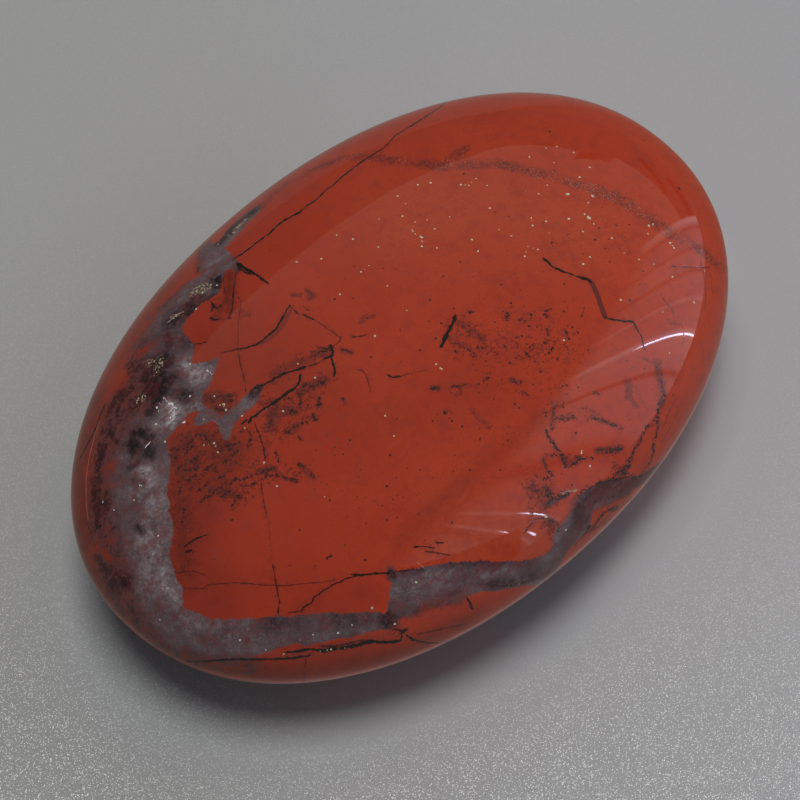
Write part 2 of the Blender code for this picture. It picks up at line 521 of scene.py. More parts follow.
# Clean dark cracks, of which the first runs on over the rim
CRACKS = marks(
    (0.17, 1.0, (278, 225), (285, 220), (300, 212), (308, 205), (316, 200), (326, 190), (333, 185),
     (343, 176), (352, 169), (360, 163), (369, 157), (384, 148), (395, 136), (406, 129), (417, 122.5),
     (428, 115), (440, 107), (450, 98), (458, 90)),
    (0.24, 1.0, (234, 259), (243, 253), (250, 248.5), (256, 243), (263, 238), (270, 233), (278, 225),
     (285, 220), (300, 212)),
    (0.42, 1.0, (238, 264), (244, 267.5), (250, 271)),
    (0.24, 1.0, (248, 270), (256, 274), (262, 279), (267, 283)),
    (0.2, 0.9, (239, 268), (246, 273), (254, 274)),
    (0.18, 1.0, (211, 302), (213, 306), (217, 308.5), (221, 306)),
    (0.18, 1.0, (211, 318), (216, 320), (220, 318.5)), (0.12, 0.8, (213, 306), (211, 312)),
    (0.1, 0.6, (222, 319), (231, 318)),
    (0.19, 1.0, (237, 349.5), (245, 348), (252, 346), (258, 344), (264, 339), (270, 334), (276, 329),
     (280, 322), (284, 315), (287, 309), (289.6, 306)),
    (0.12, 0.85, (221, 353), (229, 351), (238, 349.5)),
    (0.12, 0.9, (289.6, 306), (294, 310), (299, 314.5)),
    (0.14, 0.9, (303, 314.5), (309, 317.5), (315, 320)),
    (0.08, 0.65, (315, 320), (322, 325), (330, 330), (340, 338)),
    (0.1, 0.7, (341, 335), (340, 341), (334, 346)), (0.08, 0.6, (303, 306), (309, 311)),
    (0.22, 1.0, (262, 385.5), (270, 381.5), (276, 378), (285, 373.5), (293, 371), (301, 368.6),
     (305, 367)),
    (0.12, 0.8, (308, 366), (315, 364.8), (320, 362), (325, 358.5)),
    (0.24, 1.0, (325, 358.5), (331, 356.5), (333, 352), (331, 346)),
    (0.17, 1.0, (331, 357), (333, 364), (335, 370), (334, 376)),
    (0.14, 0.9, (318, 347), (326, 349), (333, 347)), (0.13, 0.9, (321, 351.5), (328, 351), (333, 351)),
    (0.26, 1.0, (300.4, 375.6), (299, 381), (296, 387), (290, 391), (283, 396), (277, 401), (270, 405),
     (262, 410), (256, 415), (251, 418), (249.5, 422)),
    (0.2, 0.9, (247, 420), (241, 424)),
    (0.07, 0.5, (235, 290), (240, 300), (240, 312), (238, 325), (238, 349)),
    (0.09, 0.7, (238, 349), (240, 362), (243, 375), (245, 385), (246, 392)),
    (0.15, 0.85, (236, 273), (234, 285), (233, 298), (232, 310), (228, 319)),
    (0.1, 0.6, (224, 272), (223.5, 284), (225, 295)), (0.13, 0.9, (195, 344), (200, 343.5), (206, 342)),
    (0.14, 0.9, (254.8, 423), (257, 430), (260, 436), (262.5, 444), (264, 450), (265, 458)),
    (0.1, 0.7, (261, 480), (262, 492), (264, 503), (267, 518)),
    (0.1, 0.7, (245, 427), (250, 433), (251, 437)), (0.06, 0.4, (268, 518), (270, 540), (272, 562)),
    (0.13, 0.85, (272.5, 563), (274, 572), (276, 584), (278, 594), (279.5, 602.5), (278, 615)),
    (0.1, 0.7, (184, 588), (202, 589), (208, 585), (222, 583.5), (238, 582.7), (262, 585), (285, 586),
     (304, 583.5), (322, 582.5), (335, 580)),
    (0.09, 0.6, (177, 573), (186, 571), (196, 572), (206, 576)),
    (0.16, 0.9, (184, 547), (194, 539), (203, 536.5), (209, 534)), (0.3, 0.9, (186, 552), (190, 550.5)),
    (0.15, 0.85, (301, 612), (302.5, 608), (309, 604.5), (313.5, 602), (313.5, 598), (318, 595),
     (322, 590.5), (328, 588.5), (333, 584), (340, 582.5), (346, 578.5), (357, 575.5)),
    (0.24, 0.95, (352, 574.5), (362, 575), (372, 574), (380, 573.5), (388, 573)),
    (0.13, 0.85, (289, 612.5), (298, 611.5), (304, 610)),
    (0.13, 0.8, (396, 572), (404, 571), (413, 569.5)),
    (0.24, 1.0, (186, 661), (196, 661.5), (208, 661), (228, 659.5), (250, 659.5), (270, 659.3),
     (288.5, 658.5), (300, 657), (309, 655.4)),
    (0.28, 1.0, (286, 652.5), (294, 652), (301, 650.5), (308, 649), (314, 649)),
    (0.36, 1.0, (314, 650), (323, 650.5), (334, 649.5), (346, 647.5), (356, 645.5), (366, 642.5),
     (374, 641.2), (384, 642.3), (392, 642), (399, 641)),
    (0.16, 0.8, (320, 646), (334, 646.5), (350, 643), (362, 640)),
    (0.2, 0.95, (399, 641), (402, 637), (401, 633), (405, 631)),
    (0.22, 0.9, (395, 629.5), (401, 631), (406, 630)),
    (0.22, 1.0, (406, 635), (413, 640), (420, 641.5), (430, 643), (441, 642.5), (452, 640), (466, 634)),
    (0.13, 0.85, (417, 634.5), (430, 631.5), (445, 628), (458, 625), (463, 624)),
    (0.2, 1.0, (467, 598), (470, 603), (472.5, 609)), (0.08, 0.6, (306, 658.6), (305, 670), (304, 681)),
    (0.22, 1.0, (544, 259), (549, 263.5), (553, 267), (560.4, 270.6), (566, 272.5)),
    (0.18, 0.9, (567, 273), (573, 275)), (0.3, 1.0, (577, 276.4), (583, 278), (588.5, 279.5), (590, 281)),
    (0.16, 1.0, (604, 317), (609, 318.5), (614, 319.7), (625, 321.3), (633, 321.6), (636, 328),
     (639, 333), (642, 338), (643, 345), (645, 349)),
    (0.13, 0.75, (524, 533), (530, 525), (536, 519.5), (545, 517.5)),
    (0.2, 0.7, (575, 545), (585, 533), (596, 529), (612, 512), (640, 492)),
    (0.3, 1.0, (455, 316), (453, 322), (449, 331), (445, 338), (441, 346)),
    (0.08, 0.7, (455, 316), (464, 315)), (0.17, 0.95, (388, 375), (393, 377.5), (400, 376.5)),
    (0.07, 0.6, (401, 376.3), (412, 373), (427, 370)),
    (0.09, 0.65, (357, 369), (364, 372), (367, 377), (369, 386), (371, 392)),
    (0.12, 0.85, (352, 337), (359, 336.5), (366, 335)),
    (0.17, 0.95, (415, 547), (425, 546.5), (434, 548)), (0.16, 0.9, (437, 542.7), (443, 543)),
    (0.15, 0.75, (426, 551), (436, 553), (449, 555)),
    (0.09, 0.8, (672, 266.3), (690, 266.8), (711, 267.3)),
    (0.08, 0.7, (662, 297), (668, 305), (675, 314)), (0.09, 0.7, (667.6, 323.5), (681.6, 324)),
    (0.06, 0.45, (682, 314), (684, 332), (682, 348)),
    (0.24, 1.0, (105, 405), (100, 416), (97, 426), (91, 438), (86, 448), (80, 459)),
    (0.1, 0.6, (85, 517), (90, 530), (95, 546)), (0.12, 0.7, (140, 346), (134, 354), (128, 366)),
    (0.12, 0.45, (701, 262), (706, 285), (706, 310)), (0.1, 0.4, (709, 270), (713, 292)),
    (0.1, 0.55, (675, 400), (669, 412), (664, 425)), (0.1, 0.45, (678, 412), (670, 428), (662, 442)),
    through=1,
)
# Short dark flakes and ticks, thickest beside the quartz at the left
FLAKE = (0.19, 0.85)  # their width in millimetres and how dark they are
FLAKES: tuple[Pixels, ...] = (
    ((284, 400), (292, 398)), ((288, 411), (297, 412)), ((300, 398), (300, 408)),
    ((286, 433), (292, 429), (297, 426)), ((299, 436), (301, 440)), ((303, 423), (307, 423)),
    ((312, 414), (317, 420)), ((276, 452), (279.5, 462)), ((256, 474), (266, 471), (275, 468)),
    ((264, 476), (281, 475)), ((282, 476), (290, 479), (297, 482)), ((246, 486), (257, 483)),
    ((240, 480), (252, 476)), ((306, 467), (313.5, 477)), ((298, 463), (304, 468)),
    ((210, 490), (216, 490)), ((208, 497), (216, 493)), ((219, 497), (230, 491)),
    ((232, 498), (241, 497)), ((235, 498), (232, 508)), ((200, 503), (208, 494)),
    ((204, 433), (197, 435), (189, 443), (182, 451)), ((194, 445), (185, 454)),
    ((201, 464), (196, 469), (187, 471)), ((203, 434), (208, 440)), ((173, 449), (178, 450)),
    ((170, 455), (176, 458)), ((226, 447), (232, 449)), ((233, 455), (238, 450)),
    ((247, 446), (251, 439)), ((224, 462), (230, 460)), ((240, 443), (228, 446)),
    ((178, 466), (184, 470)), ((181, 486), (178, 498)), ((184, 508), (182, 524)),
    ((189, 480), (195, 475)), ((205, 470), (212, 465)), ((215, 479), (224, 476)),
    ((207, 484), (199, 490)), ((190, 462), (198, 457)), ((223, 395), (231, 396), (232, 402)),
    ((207, 398), (214, 402)), ((217, 409), (226, 411)), ((236, 478), (229, 484)),
    ((302, 386), (309, 384)), ((311, 387), (320, 384), (326, 380)), ((297, 393), (301, 396)),
    ((319, 398), (321, 403), (316, 407)), ((463, 348), (470, 350), (474, 356)), ((477, 348), (484, 348)),
    ((467, 312), (473, 312)), ((451, 386), (459, 386.5), (465, 385)),
    ((511, 380), (517, 382.5), (522, 383)), ((541, 372), (546, 372)), ((522, 392), (528, 395)),
    ((520, 320), (525, 320)), ((506, 323), (508, 314)), ((544, 315), (549, 317)),
    ((525, 353), (530, 356)), ((455, 351), (458, 352)), ((484, 381), (489, 378)),
    ((431, 388), (438, 388)), ((545, 413), (547, 416)), ((550, 527), (554, 531)),
    ((549, 495), (556, 500)), ((560, 497), (565, 495)), ((547, 504), (556, 501)),
    ((561, 386), (567, 385)), ((593, 393), (600, 394)), ((342, 350), (351, 353)),
    ((445, 413), (449, 412)), ((566, 333), (568, 339)),
)
# Ragged, crumbling cracks, at the right above all
CRUMBLING = marks(
    (0.28, 1.0, (665, 396), (661, 402), (658, 412), (658.5, 419), (657, 427), (657, 434), (654.5, 440),
     (653, 446), (654, 452), (651, 460), (647, 468), (640, 476)),
    (0.24, 1.0, (658, 416), (651, 425), (646, 428), (642, 436), (640, 443), (635, 448), (632.5, 454),
     (631, 461), (627, 468), (622, 474)),
    (0.4, 1.0, (617, 474), (622, 470), (629, 466), (630, 460)),
    (0.28, 1.0, (596, 485), (606, 481), (614, 479.5), (626, 478)),
    (0.3, 1.0, (620, 470), (628, 475), (636, 478)), (0.3, 0.75, (557, 419), (565, 419.5), (575, 418)),
    (0.26, 0.8, (590, 417.5), (600, 419.5), (608, 423), (615, 426), (622, 428.5)),
    (0.22, 0.6, (557, 404), (553, 413), (552.5, 421), (552, 430)),
    (0.1, 0.5, (580, 408), (592, 410), (598, 416)),
    (0.22, 0.95, (546, 431), (549, 438), (553, 443), (557, 449), (560, 452)),
    (0.3, 0.95, (562, 455), (563, 462), (568, 467), (575, 463), (580, 459), (587, 458)),
    (0.2, 0.8, (564, 458), (570, 456.5), (580, 457), (593, 458)),
    (0.2, 0.85, (556, 455), (546, 455.5), (543, 460), (545, 466), (549, 472), (553, 476)),
    (0.22, 1.0, (543, 478.5), (549, 478.5)), (0.22, 0.9, (597, 451), (603, 450)),
    (0.34, 1.0, (607, 452), (613, 451), (621, 448)),
    (0.16, 0.6, (530, 482), (536, 490), (541, 503), (547, 510)),
    (0.16, 0.6, (526, 487), (533, 490), (540, 493)), (0.34, 0.9, (545, 488), (551, 492), (549, 497)),
    (0.34, 1.0, (548, 504), (556, 500), (562, 496), (568, 493)),
    (0.14, 0.5, (530, 497), (528, 506), (532, 514)), (0.22, 0.8, (547, 519), (556, 523), (559, 531)),
    (0.34, 1.0, (618, 508), (608, 510), (602, 515), (597, 522), (595, 526), (588, 528)),
    (0.14, 0.7, (606, 498), (615, 497), (628, 493)), (0.2, 0.9, (590, 530), (598, 527), (610, 519)),
    (0.2, 0.9, (488, 585), (500, 586.5), (515, 584.5), (530, 581), (545, 576)),
    (0.16, 0.6, (655, 362), (658, 372), (662, 384), (664, 394)),
    (0.1, 0.3, (634, 385), (640, 398), (648, 410)), (0.2, 0.9, (578, 496), (584, 489), (592, 486)),
    *((*FLAKE, *flake) for flake in FLAKES),
)
# The dusty veil across the far end, whose long line runs on over the rim
VEIL = marks(
    (1.25, 1.0, (246, 218), (257, 210), (271, 197), (287, 184), (304, 176), (322, 166), (346, 158),
     (371, 157), (397, 161), (420, 163), (440, 166), (471, 164), (496, 163), (522, 169), (548, 175),
     (573, 182), (592, 188), (611, 195), (631, 206), (649, 217), (668, 231), (688, 242), (704, 254),
     (722, 267)),
    (1.1, 0.8, (446, 164), (455, 156), (466, 148)),
    through=1,
)
# Where the veil is dusted with pale grains
VEIL_DUST = marks(
    (0.8, 1.0, (574, 186), (592, 190), (608, 197)), (0.5, 0.6, (440, 166), (452, 163)),
    (0.6, 0.4, (535, 174), (552, 179)), (0.7, 0.5, (628, 206), (640, 214)),
    (0.8, 0.4, (672, 234), (690, 246), (705, 257)),
)
# The crisp brown bands
BANDS = marks(
    (0.5, 0.78, (590.5, 281), (594, 287), (598, 297), (601, 306), (604.5, 316)),
    (0.46, 0.42, (290, 311), (286, 319), (281.5, 327), (276, 333.5), (269, 339), (260, 344)),
)
# Pale scratches
PALE_LINES = marks(
    (0.09, 0.5, (99, 421), (94, 438), (89, 458), (86, 480), (86, 500), (88, 520)),
    (0.09, 0.45, (417, 562), (424, 568)),
    (0.12, 0.6, (562, 493.5), (568, 491), (573, 491.5), (578, 489.5)),
    (0.1, 0.95, (145.5, 447), (150, 442)), (0.12, 0.7, (166, 324), (176, 315), (183, 312)),
    (0.14, 0.45, (236, 230), (247, 219)), (0.12, 0.35, (230, 240), (240, 229)),
)
# Brown films with black flecks in them
SMEARS = marks(
    (0.62, 0.85, (274, 375), (286, 369)), (0.58, 0.75, (292, 365), (306, 360)),
    (0.5, 1.05, (314, 355), (330, 350)), (0.3, 0.5, (294, 378), (270, 384)),
    (0.55, 0.95, (302, 391), (312, 385), (325, 380)), (0.75, 1.0, (275, 405), (274, 414), (270, 427)),
    (0.5, 0.9, (283, 412), (295, 411)), (0.4, 1.0, (289, 431), (298, 426)),
    (0.4, 0.6, (304, 418), (316, 417)), (0.35, 0.6, (318, 397), (320, 407)),
    (0.5, 0.55, (226, 300), (218, 312)), (0.35, 1.0, (213, 306), (219, 308)),
    (0.3, 1.0, (212, 318), (219, 318)), (0.55, 0.6, (240, 312), (250, 315)),
    (0.35, 0.8, (292, 295), (300, 295)), (0.32, 1.0, (307, 291), (314, 296), (309, 299)),
    (0.75, 1.0, (205, 398), (216, 397), (228, 400)), (0.6, 1.0, (214, 408), (228, 411)),
    (0.55, 0.95, (203, 436), (212, 441), (220, 447)), (0.6, 0.9, (188, 440), (176, 452)),
    (0.45, 0.9, (226, 447), (236, 451)), (0.9, 0.5, (200, 452), (232, 462)),
    (0.5, 0.7, (196, 468), (180, 474)), (0.35, 1.0, (259, 472), (274, 468)),
    (0.3, 0.7, (284, 478), (296, 482)), (0.35, 0.9, (300, 465), (312, 476)),
    (0.45, 0.85, (212, 490), (226, 492), (240, 497)), (0.8, 0.45, (182, 500), (186, 530)),
    (0.4, 0.5, (265, 448), (268, 456)), (0.4, 0.7, (342, 350), (353, 353)),
    (0.34, 0.8, (361, 321), (366, 317), (374, 316)), (0.3, 0.4, (356, 337), (366, 336)),
    (0.35, 0.5, (342, 399), (345, 404)), (0.5, 0.8, (460, 323), (472, 331), (484, 339)),
    (0.5, 0.6, (450, 338), (458, 344), (466, 347)), (0.35, 0.7, (485, 380), (488, 379)),
    (0.4, 0.7, (512, 380), (520, 383)), (0.5, 0.4, (500, 376), (502, 378)),
    (0.4, 0.8, (434, 388), (438, 388)), (0.4, 0.5, (458, 386), (476, 386)),
    (0.3, 0.6, (456, 396), (461, 392)), (0.4, 0.5, (472, 410), (480, 420), (490, 428)),
    (0.45, 1.0, (628, 383), (629, 397)), (0.35, 0.9, (634, 402), (636, 406)),
    (0.4, 0.45, (628, 412), (632, 425)), (0.5, 0.9, (658, 362), (660, 378), (663, 392), (661, 404)),
    (0.4, 0.5, (640, 357), (650, 362)), (0.32, 0.6, (560, 418), (574, 417)),
    (0.32, 0.65, (592, 417), (616, 426)), (0.32, 0.6, (553, 406), (552, 428)),
    (0.38, 1.0, (597, 451), (610, 450), (621, 448)), (0.45, 0.7, (561, 456), (570, 464), (580, 458)),
    (0.4, 0.9, (628, 466), (622, 474)), (0.5, 0.8, (546, 504), (558, 499)),
    (0.35, 1.0, (562, 495), (566, 497)), (0.7, 0.5, (538, 490), (548, 488)),
    (0.5, 0.5, (526, 487), (530, 498)), (0.6, 0.6, (545, 521), (556, 526)),
    (0.35, 0.9, (322, 648), (350, 646), (368, 642)), (0.3, 0.9, (400, 633), (405, 630)),
    (0.3, 0.5, (312, 568), (316, 566)), (0.3, 0.4, (285, 567), (291, 565)),
    (0.5, 0.25, (214, 343), (232, 352)),
)
# Where dark dots lie thick, and where pale specks are scattered
STIPPLE = marks(
    (1.2, 0.6, (505, 316), (530, 318), (552, 310)), (1.6, 1.0, (495, 340), (530, 345), (570, 350)),
    (1.3, 0.8, (535, 330), (570, 335)), (1.2, 0.7, (455, 330), (470, 345), (495, 355)),
    (1.6, 0.5, (500, 360), (545, 365)), (1.6, 0.45, (480, 385), (530, 390), (570, 385)),
    (1.2, 1.0, (530, 485), (552, 490), (545, 505)), (1.0, 0.7, (550, 410), (590, 412)),
    (0.8, 0.9, (545, 520), (556, 530)), (1.4, 0.55, (270, 395), (300, 415)),
    (1.2, 0.35, (205, 440), (235, 455)), (2.4, 0.2, (470, 400), (520, 430)),
    (3.0, 0.2, (330, 470), (420, 520)), (2.4, 0.25, (560, 250), (620, 240)),
    (1.8, 0.3, (620, 360), (660, 390)),
)
SPECKLE = marks(
    (3.0, 0.5, (420, 195), (480, 215), (540, 190), (600, 215)),
    (2.0, 0.6, (560, 170), (600, 200), (650, 235)), (3.5, 0.25, (420, 270), (650, 290)),
    (5.0, 0.12, (400, 400), (300, 520)),
)
# Maroon and black murk
MURK = marks(
    (0.9, 0.9, (192, 290), (174, 304), (156, 324), (146, 344)),
    (2.0, 1.25, (150, 352), (146, 372), (138, 398)),
    (1.9, 1.1, (122, 402), (110, 440), (104, 480), (102, 520), (108, 570), (122, 606)),
    (0.9, 1.2, (146, 400), (150, 410)), (1.1, 0.7, (122, 606), (146, 636), (176, 656)),
    (0.5, 0.35, (300, 650), (350, 642), (392, 632)), (0.9, 0.3, (530, 574), (552, 568)),
    (0.7, 0.8, (598, 490), (625, 484), (650, 476)), (0.5, 0.35, (580, 540), (600, 524), (625, 500)),
    (0.5, 0.9, (391, 571), (390, 577)),
)
# Where the red is deep and brownish; along the left and lower rim it is also painted shade
DEEP_RED_AND_RIM_SHADE = marks(
    (2.3, 0.95, (182, 448), (178, 490), (184, 535), (180, 572)),
    (2.4, 0.75, (205, 430), (228, 452), (216, 482)), (1.8, 0.65, (200, 486), (205, 508), (192, 535)),
    (2.0, 0.45, (196, 560), (215, 600)), (4.0, 0.28, (220, 350), (300, 380), (380, 418), (470, 396)),
    (0.65, 1.3, (230, 274), (229, 308)), (1.6, 0.35, (310, 604), (370, 594)),
    (2.2, 1.25, (95, 400), (78, 470), (84, 560), (115, 630), (170, 670)),
    (1.6, 0.6, (170, 285), (130, 335), (108, 380)),
    (1.9, 0.7, (260, 676), (320, 670), (400, 655), (470, 620)),
    (0.9, 0.35, (558, 405), (500, 450), (440, 500), (400, 545)),
)
# Where the red is paler and more orange
PALER = marks(
    (5.5, 0.8, (400, 225), (490, 205), (570, 225)), (3.5, 0.9, (460, 540), (520, 530), (550, 540)),
    (4.0, 0.4, (640, 240), (700, 300)), (2.4, 0.5, (440, 505), (462, 495)),
)
# The fine crackle
CRACKLE = marks(
    (1.0, 1.0, (204, 400), (228, 400)), (1.6, 0.9, (190, 440), (205, 432), (222, 446)),
    (1.8, 0.8, (180, 462), (205, 462), (230, 455)), (1.6, 0.75, (180, 480), (215, 488), (240, 492)),
    (1.6, 0.5, (178, 500), (184, 545), (180, 575)), (1.4, 0.5, (240, 430), (262, 440), (285, 428)),
    (1.4, 0.75, (262, 402), (280, 408), (300, 402)), (1.0, 0.7, (250, 470), (275, 474), (300, 476)),
    (1.0, 0.7, (296, 396), (314, 388), (328, 378)), (1.0, 0.45, (276, 370), (300, 362), (326, 352)),
    (0.8, 0.3, (216, 300), (216, 312)), (1.3, 0.55, (458, 326), (478, 336), (492, 352)),
    (1.7, 0.4, (500, 345), (530, 350), (560, 345)), (1.0, 0.45, (455, 352), (480, 352)),
    (1.3, 0.9, (540, 488), (548, 500), (540, 512)), (0.9, 0.9, (550, 524), (556, 534)),
    (0.8, 0.3, (558, 412), (580, 414), (604, 420)), (0.8, 0.8, (616, 468), (628, 462)),
)
# Clusters of tiny gold and cream crystals
CRYSTALS = marks(
    (0.55, 0.75, (150, 362), (160, 362), (157, 372)), (0.4, 0.8, (138, 401), (144, 397)),
    (0.55, 1.5, (196, 292), (207, 286)), (0.35, 0.8, (172, 317), (179, 313)),
    (0.4, 0.25, (222, 402), (228, 409)), (0.3, 0.6, (203, 419), (204, 420)),
    (0.4, 0.7, (228, 237), (246, 219)), (0.28, 1.0, (563, 492), (576, 490)),
)
# Cream specks, white sparks in the quartz, which are white grains and partly painted glints, and dark
# dots, each where it was seen
BIG_CREAM: Pixels = (
    (569, 194), (592.6, 196), (585, 214), (589.5, 218), (649, 225.6), (567, 194),
)
SMALL_CREAM: Pixels = (
    (504, 148), (529, 157), (546, 148), (557, 146.5), (574, 152.6), (554, 162.6), (590, 167.4),
    (476, 178.6), (461, 184.7), (469, 185.3), (487, 185.3), (430.6, 182.7), (418, 184.7), (405.6, 203.8),
    (397.7, 196), (402.5, 216), (490, 208), (538.5, 194), (547.4, 185), (588.5, 202.6), (593.4, 223.8),
    (568.6, 218.7), (546, 221.5), (531.4, 218), (532.4, 225.6), (549.7, 232.7), (499, 229.4),
    (472, 239.6), (437, 248), (422, 246.5), (415.3, 234), (411.7, 230), (422, 237.6), (415, 222),
    (427, 220), (435, 229), (449.7, 216.6), (478, 251), (538, 249.5), (528, 246.5), (524.5, 256),
    (590, 257), (583, 264), (653, 224), (648, 233.7), (670.4, 243), (674, 248), (654, 264), (672.7, 277),
    (704.6, 271), (694, 302.6), (639, 259.5), (624, 253), (620.7, 300), (612, 238), (662.8, 312),
    (669.6, 353), (583, 231.4), (579.6, 177), (511.5, 236), (379, 219), (353, 239), (336.7, 235),
    (321.4, 258.7), (297, 262), (369, 265.4), (361, 272), (387.4, 286), (378, 247), (340, 294.4),
    (441.6, 369), (436, 364), (315, 377.6), (266.5, 409), (283, 411), (242, 416), (375, 336), (385, 416),
    (394, 436), (264, 462.5), (245, 428), (277, 486), (581.5, 451), (581.5, 453), (590, 466), (564, 340),
    (204, 445), (214, 443), (218, 452), (203, 419), (214, 396), (220, 405), (226, 410), (224, 404),
    (298, 364), (416, 582), (486, 582), (547, 517), (544, 517), (519, 584), (372, 608), (284, 654),
    (320, 651), (331, 649.5), (345, 648), (395, 624), (176, 316), (170, 322), (190, 364), (191, 382),
    (156, 424),
)
WHITE_GRAINS_AND_GLINTS: Pixels = (
    (168.6, 405), (169, 403.4), (171, 402.8), (172.4, 404.2), (172.4, 406), (170.5, 416.5),
    (170.8, 418.6), (182.6, 422.6), (184.6, 421.8), (165.5, 442), (148, 444.5), (147, 487), (168, 588),
    (114, 510), (103, 502), (140, 485), (157, 407.5), (165, 441), (183, 312), (217, 285), (218, 244),
    (196, 309), (158, 536), (142, 524), (208, 371), (212, 374), (204, 368), (150, 470), (134, 500),
    (176, 408), (164, 398), (160, 414), (190, 396), (283, 655), (266, 650), (240, 640), (300, 640),
    (338, 633), (313, 635), (352, 625), (566, 530), (118, 640), (160, 620),
)
BIG_DOTS: Pixels = (
    (506, 347), (545, 343), (527, 354), (553, 348), (547, 329), (548, 335), (546, 311), (551, 309),
    (531, 315), (529, 326), (515, 404), (445, 413), (452, 421), (452, 343), (434, 388), (371, 357),
    (343, 399), (214, 560), (229, 560), (327, 558), (331, 556), (566, 332), (549, 353), (568, 350),
    (470, 312), (441, 323), (480, 439), (576, 433), (547, 431), (315, 420), (302, 423), (300, 439),
    (679, 188.3), (599, 228), (609, 239), (550, 131.7),
)
SMALL_DOTS: Pixels = (
    (639, 184), (616.6, 225.6), (509, 216.6), (443, 276), (501, 284.5), (473, 277), (564, 283.7),
    (602, 207), (464, 174), (643, 271), (395.6, 268.7), (334.6, 299), (519, 408), (450, 411), (433, 421),
    (517, 348), (530, 347), (534, 344), (560, 348), (522, 336), (516, 338), (511, 303), (507, 313),
    (512, 313), (582, 316), (584, 308), (537, 327), (543, 362), (535, 362), (510, 363), (436, 338),
    (433, 341), (484, 344), (490, 373), (555, 385), (578, 387), (566, 372), (460, 262), (430, 300),
    (520, 290), (610, 262), (574, 300), (630, 300), (588, 350), (400, 330), (420, 350), (350, 440),
    (360, 470), (330, 500), (420, 470), (387, 486), (387, 520), (402, 535), (300, 530), (250, 540),
    (232, 520), (390, 455), (455, 455), (470, 470), (500, 470), (315, 566), (289, 566), (345, 545),
    (365, 560),
)
# The soft patches, under the names of their values in the mesh
PATCHES: dict[str, tuple[Mark, ...]] = {
    "milky": MILKY, "smoky": SMOKY, "lost": LOST_EDGE, "embers": EMBERS, "soot": SOOT, "smear": SMEARS,
    "stipple": STIPPLE, "crackle": CRACKLE, "speckle": SPECKLE, "murk": MURK, "deep": DEEP_RED_AND_RIM_SHADE,
    "crystals": CRYSTALS, "paler": PALER, "veil_dust": VEIL_DUST,
}


@dataclass(frozen=True)
class SpeckKind:
    """A kind of speck: its attribute's name, radius in millimetres, tint and spots."""

    name: str
    radius: float
    tint: Colour
    spots: Pixels


SPECKS = (
    SpeckKind("cream_big", 0.13, JasperFinish.cream, BIG_CREAM),
    SpeckKind("cream", 0.085, JasperFinish.cream, SMALL_CREAM),
    SpeckKind("spark", 0.075, JasperFinish.white, WHITE_GRAINS_AND_GLINTS),
    SpeckKind("dot_big", 0.15, JasperFinish.dot, BIG_DOTS),
    SpeckKind("dot", 0.11, JasperFinish.dot, SMALL_DOTS),
)

Laid = list[tuple[Mark, Path]]


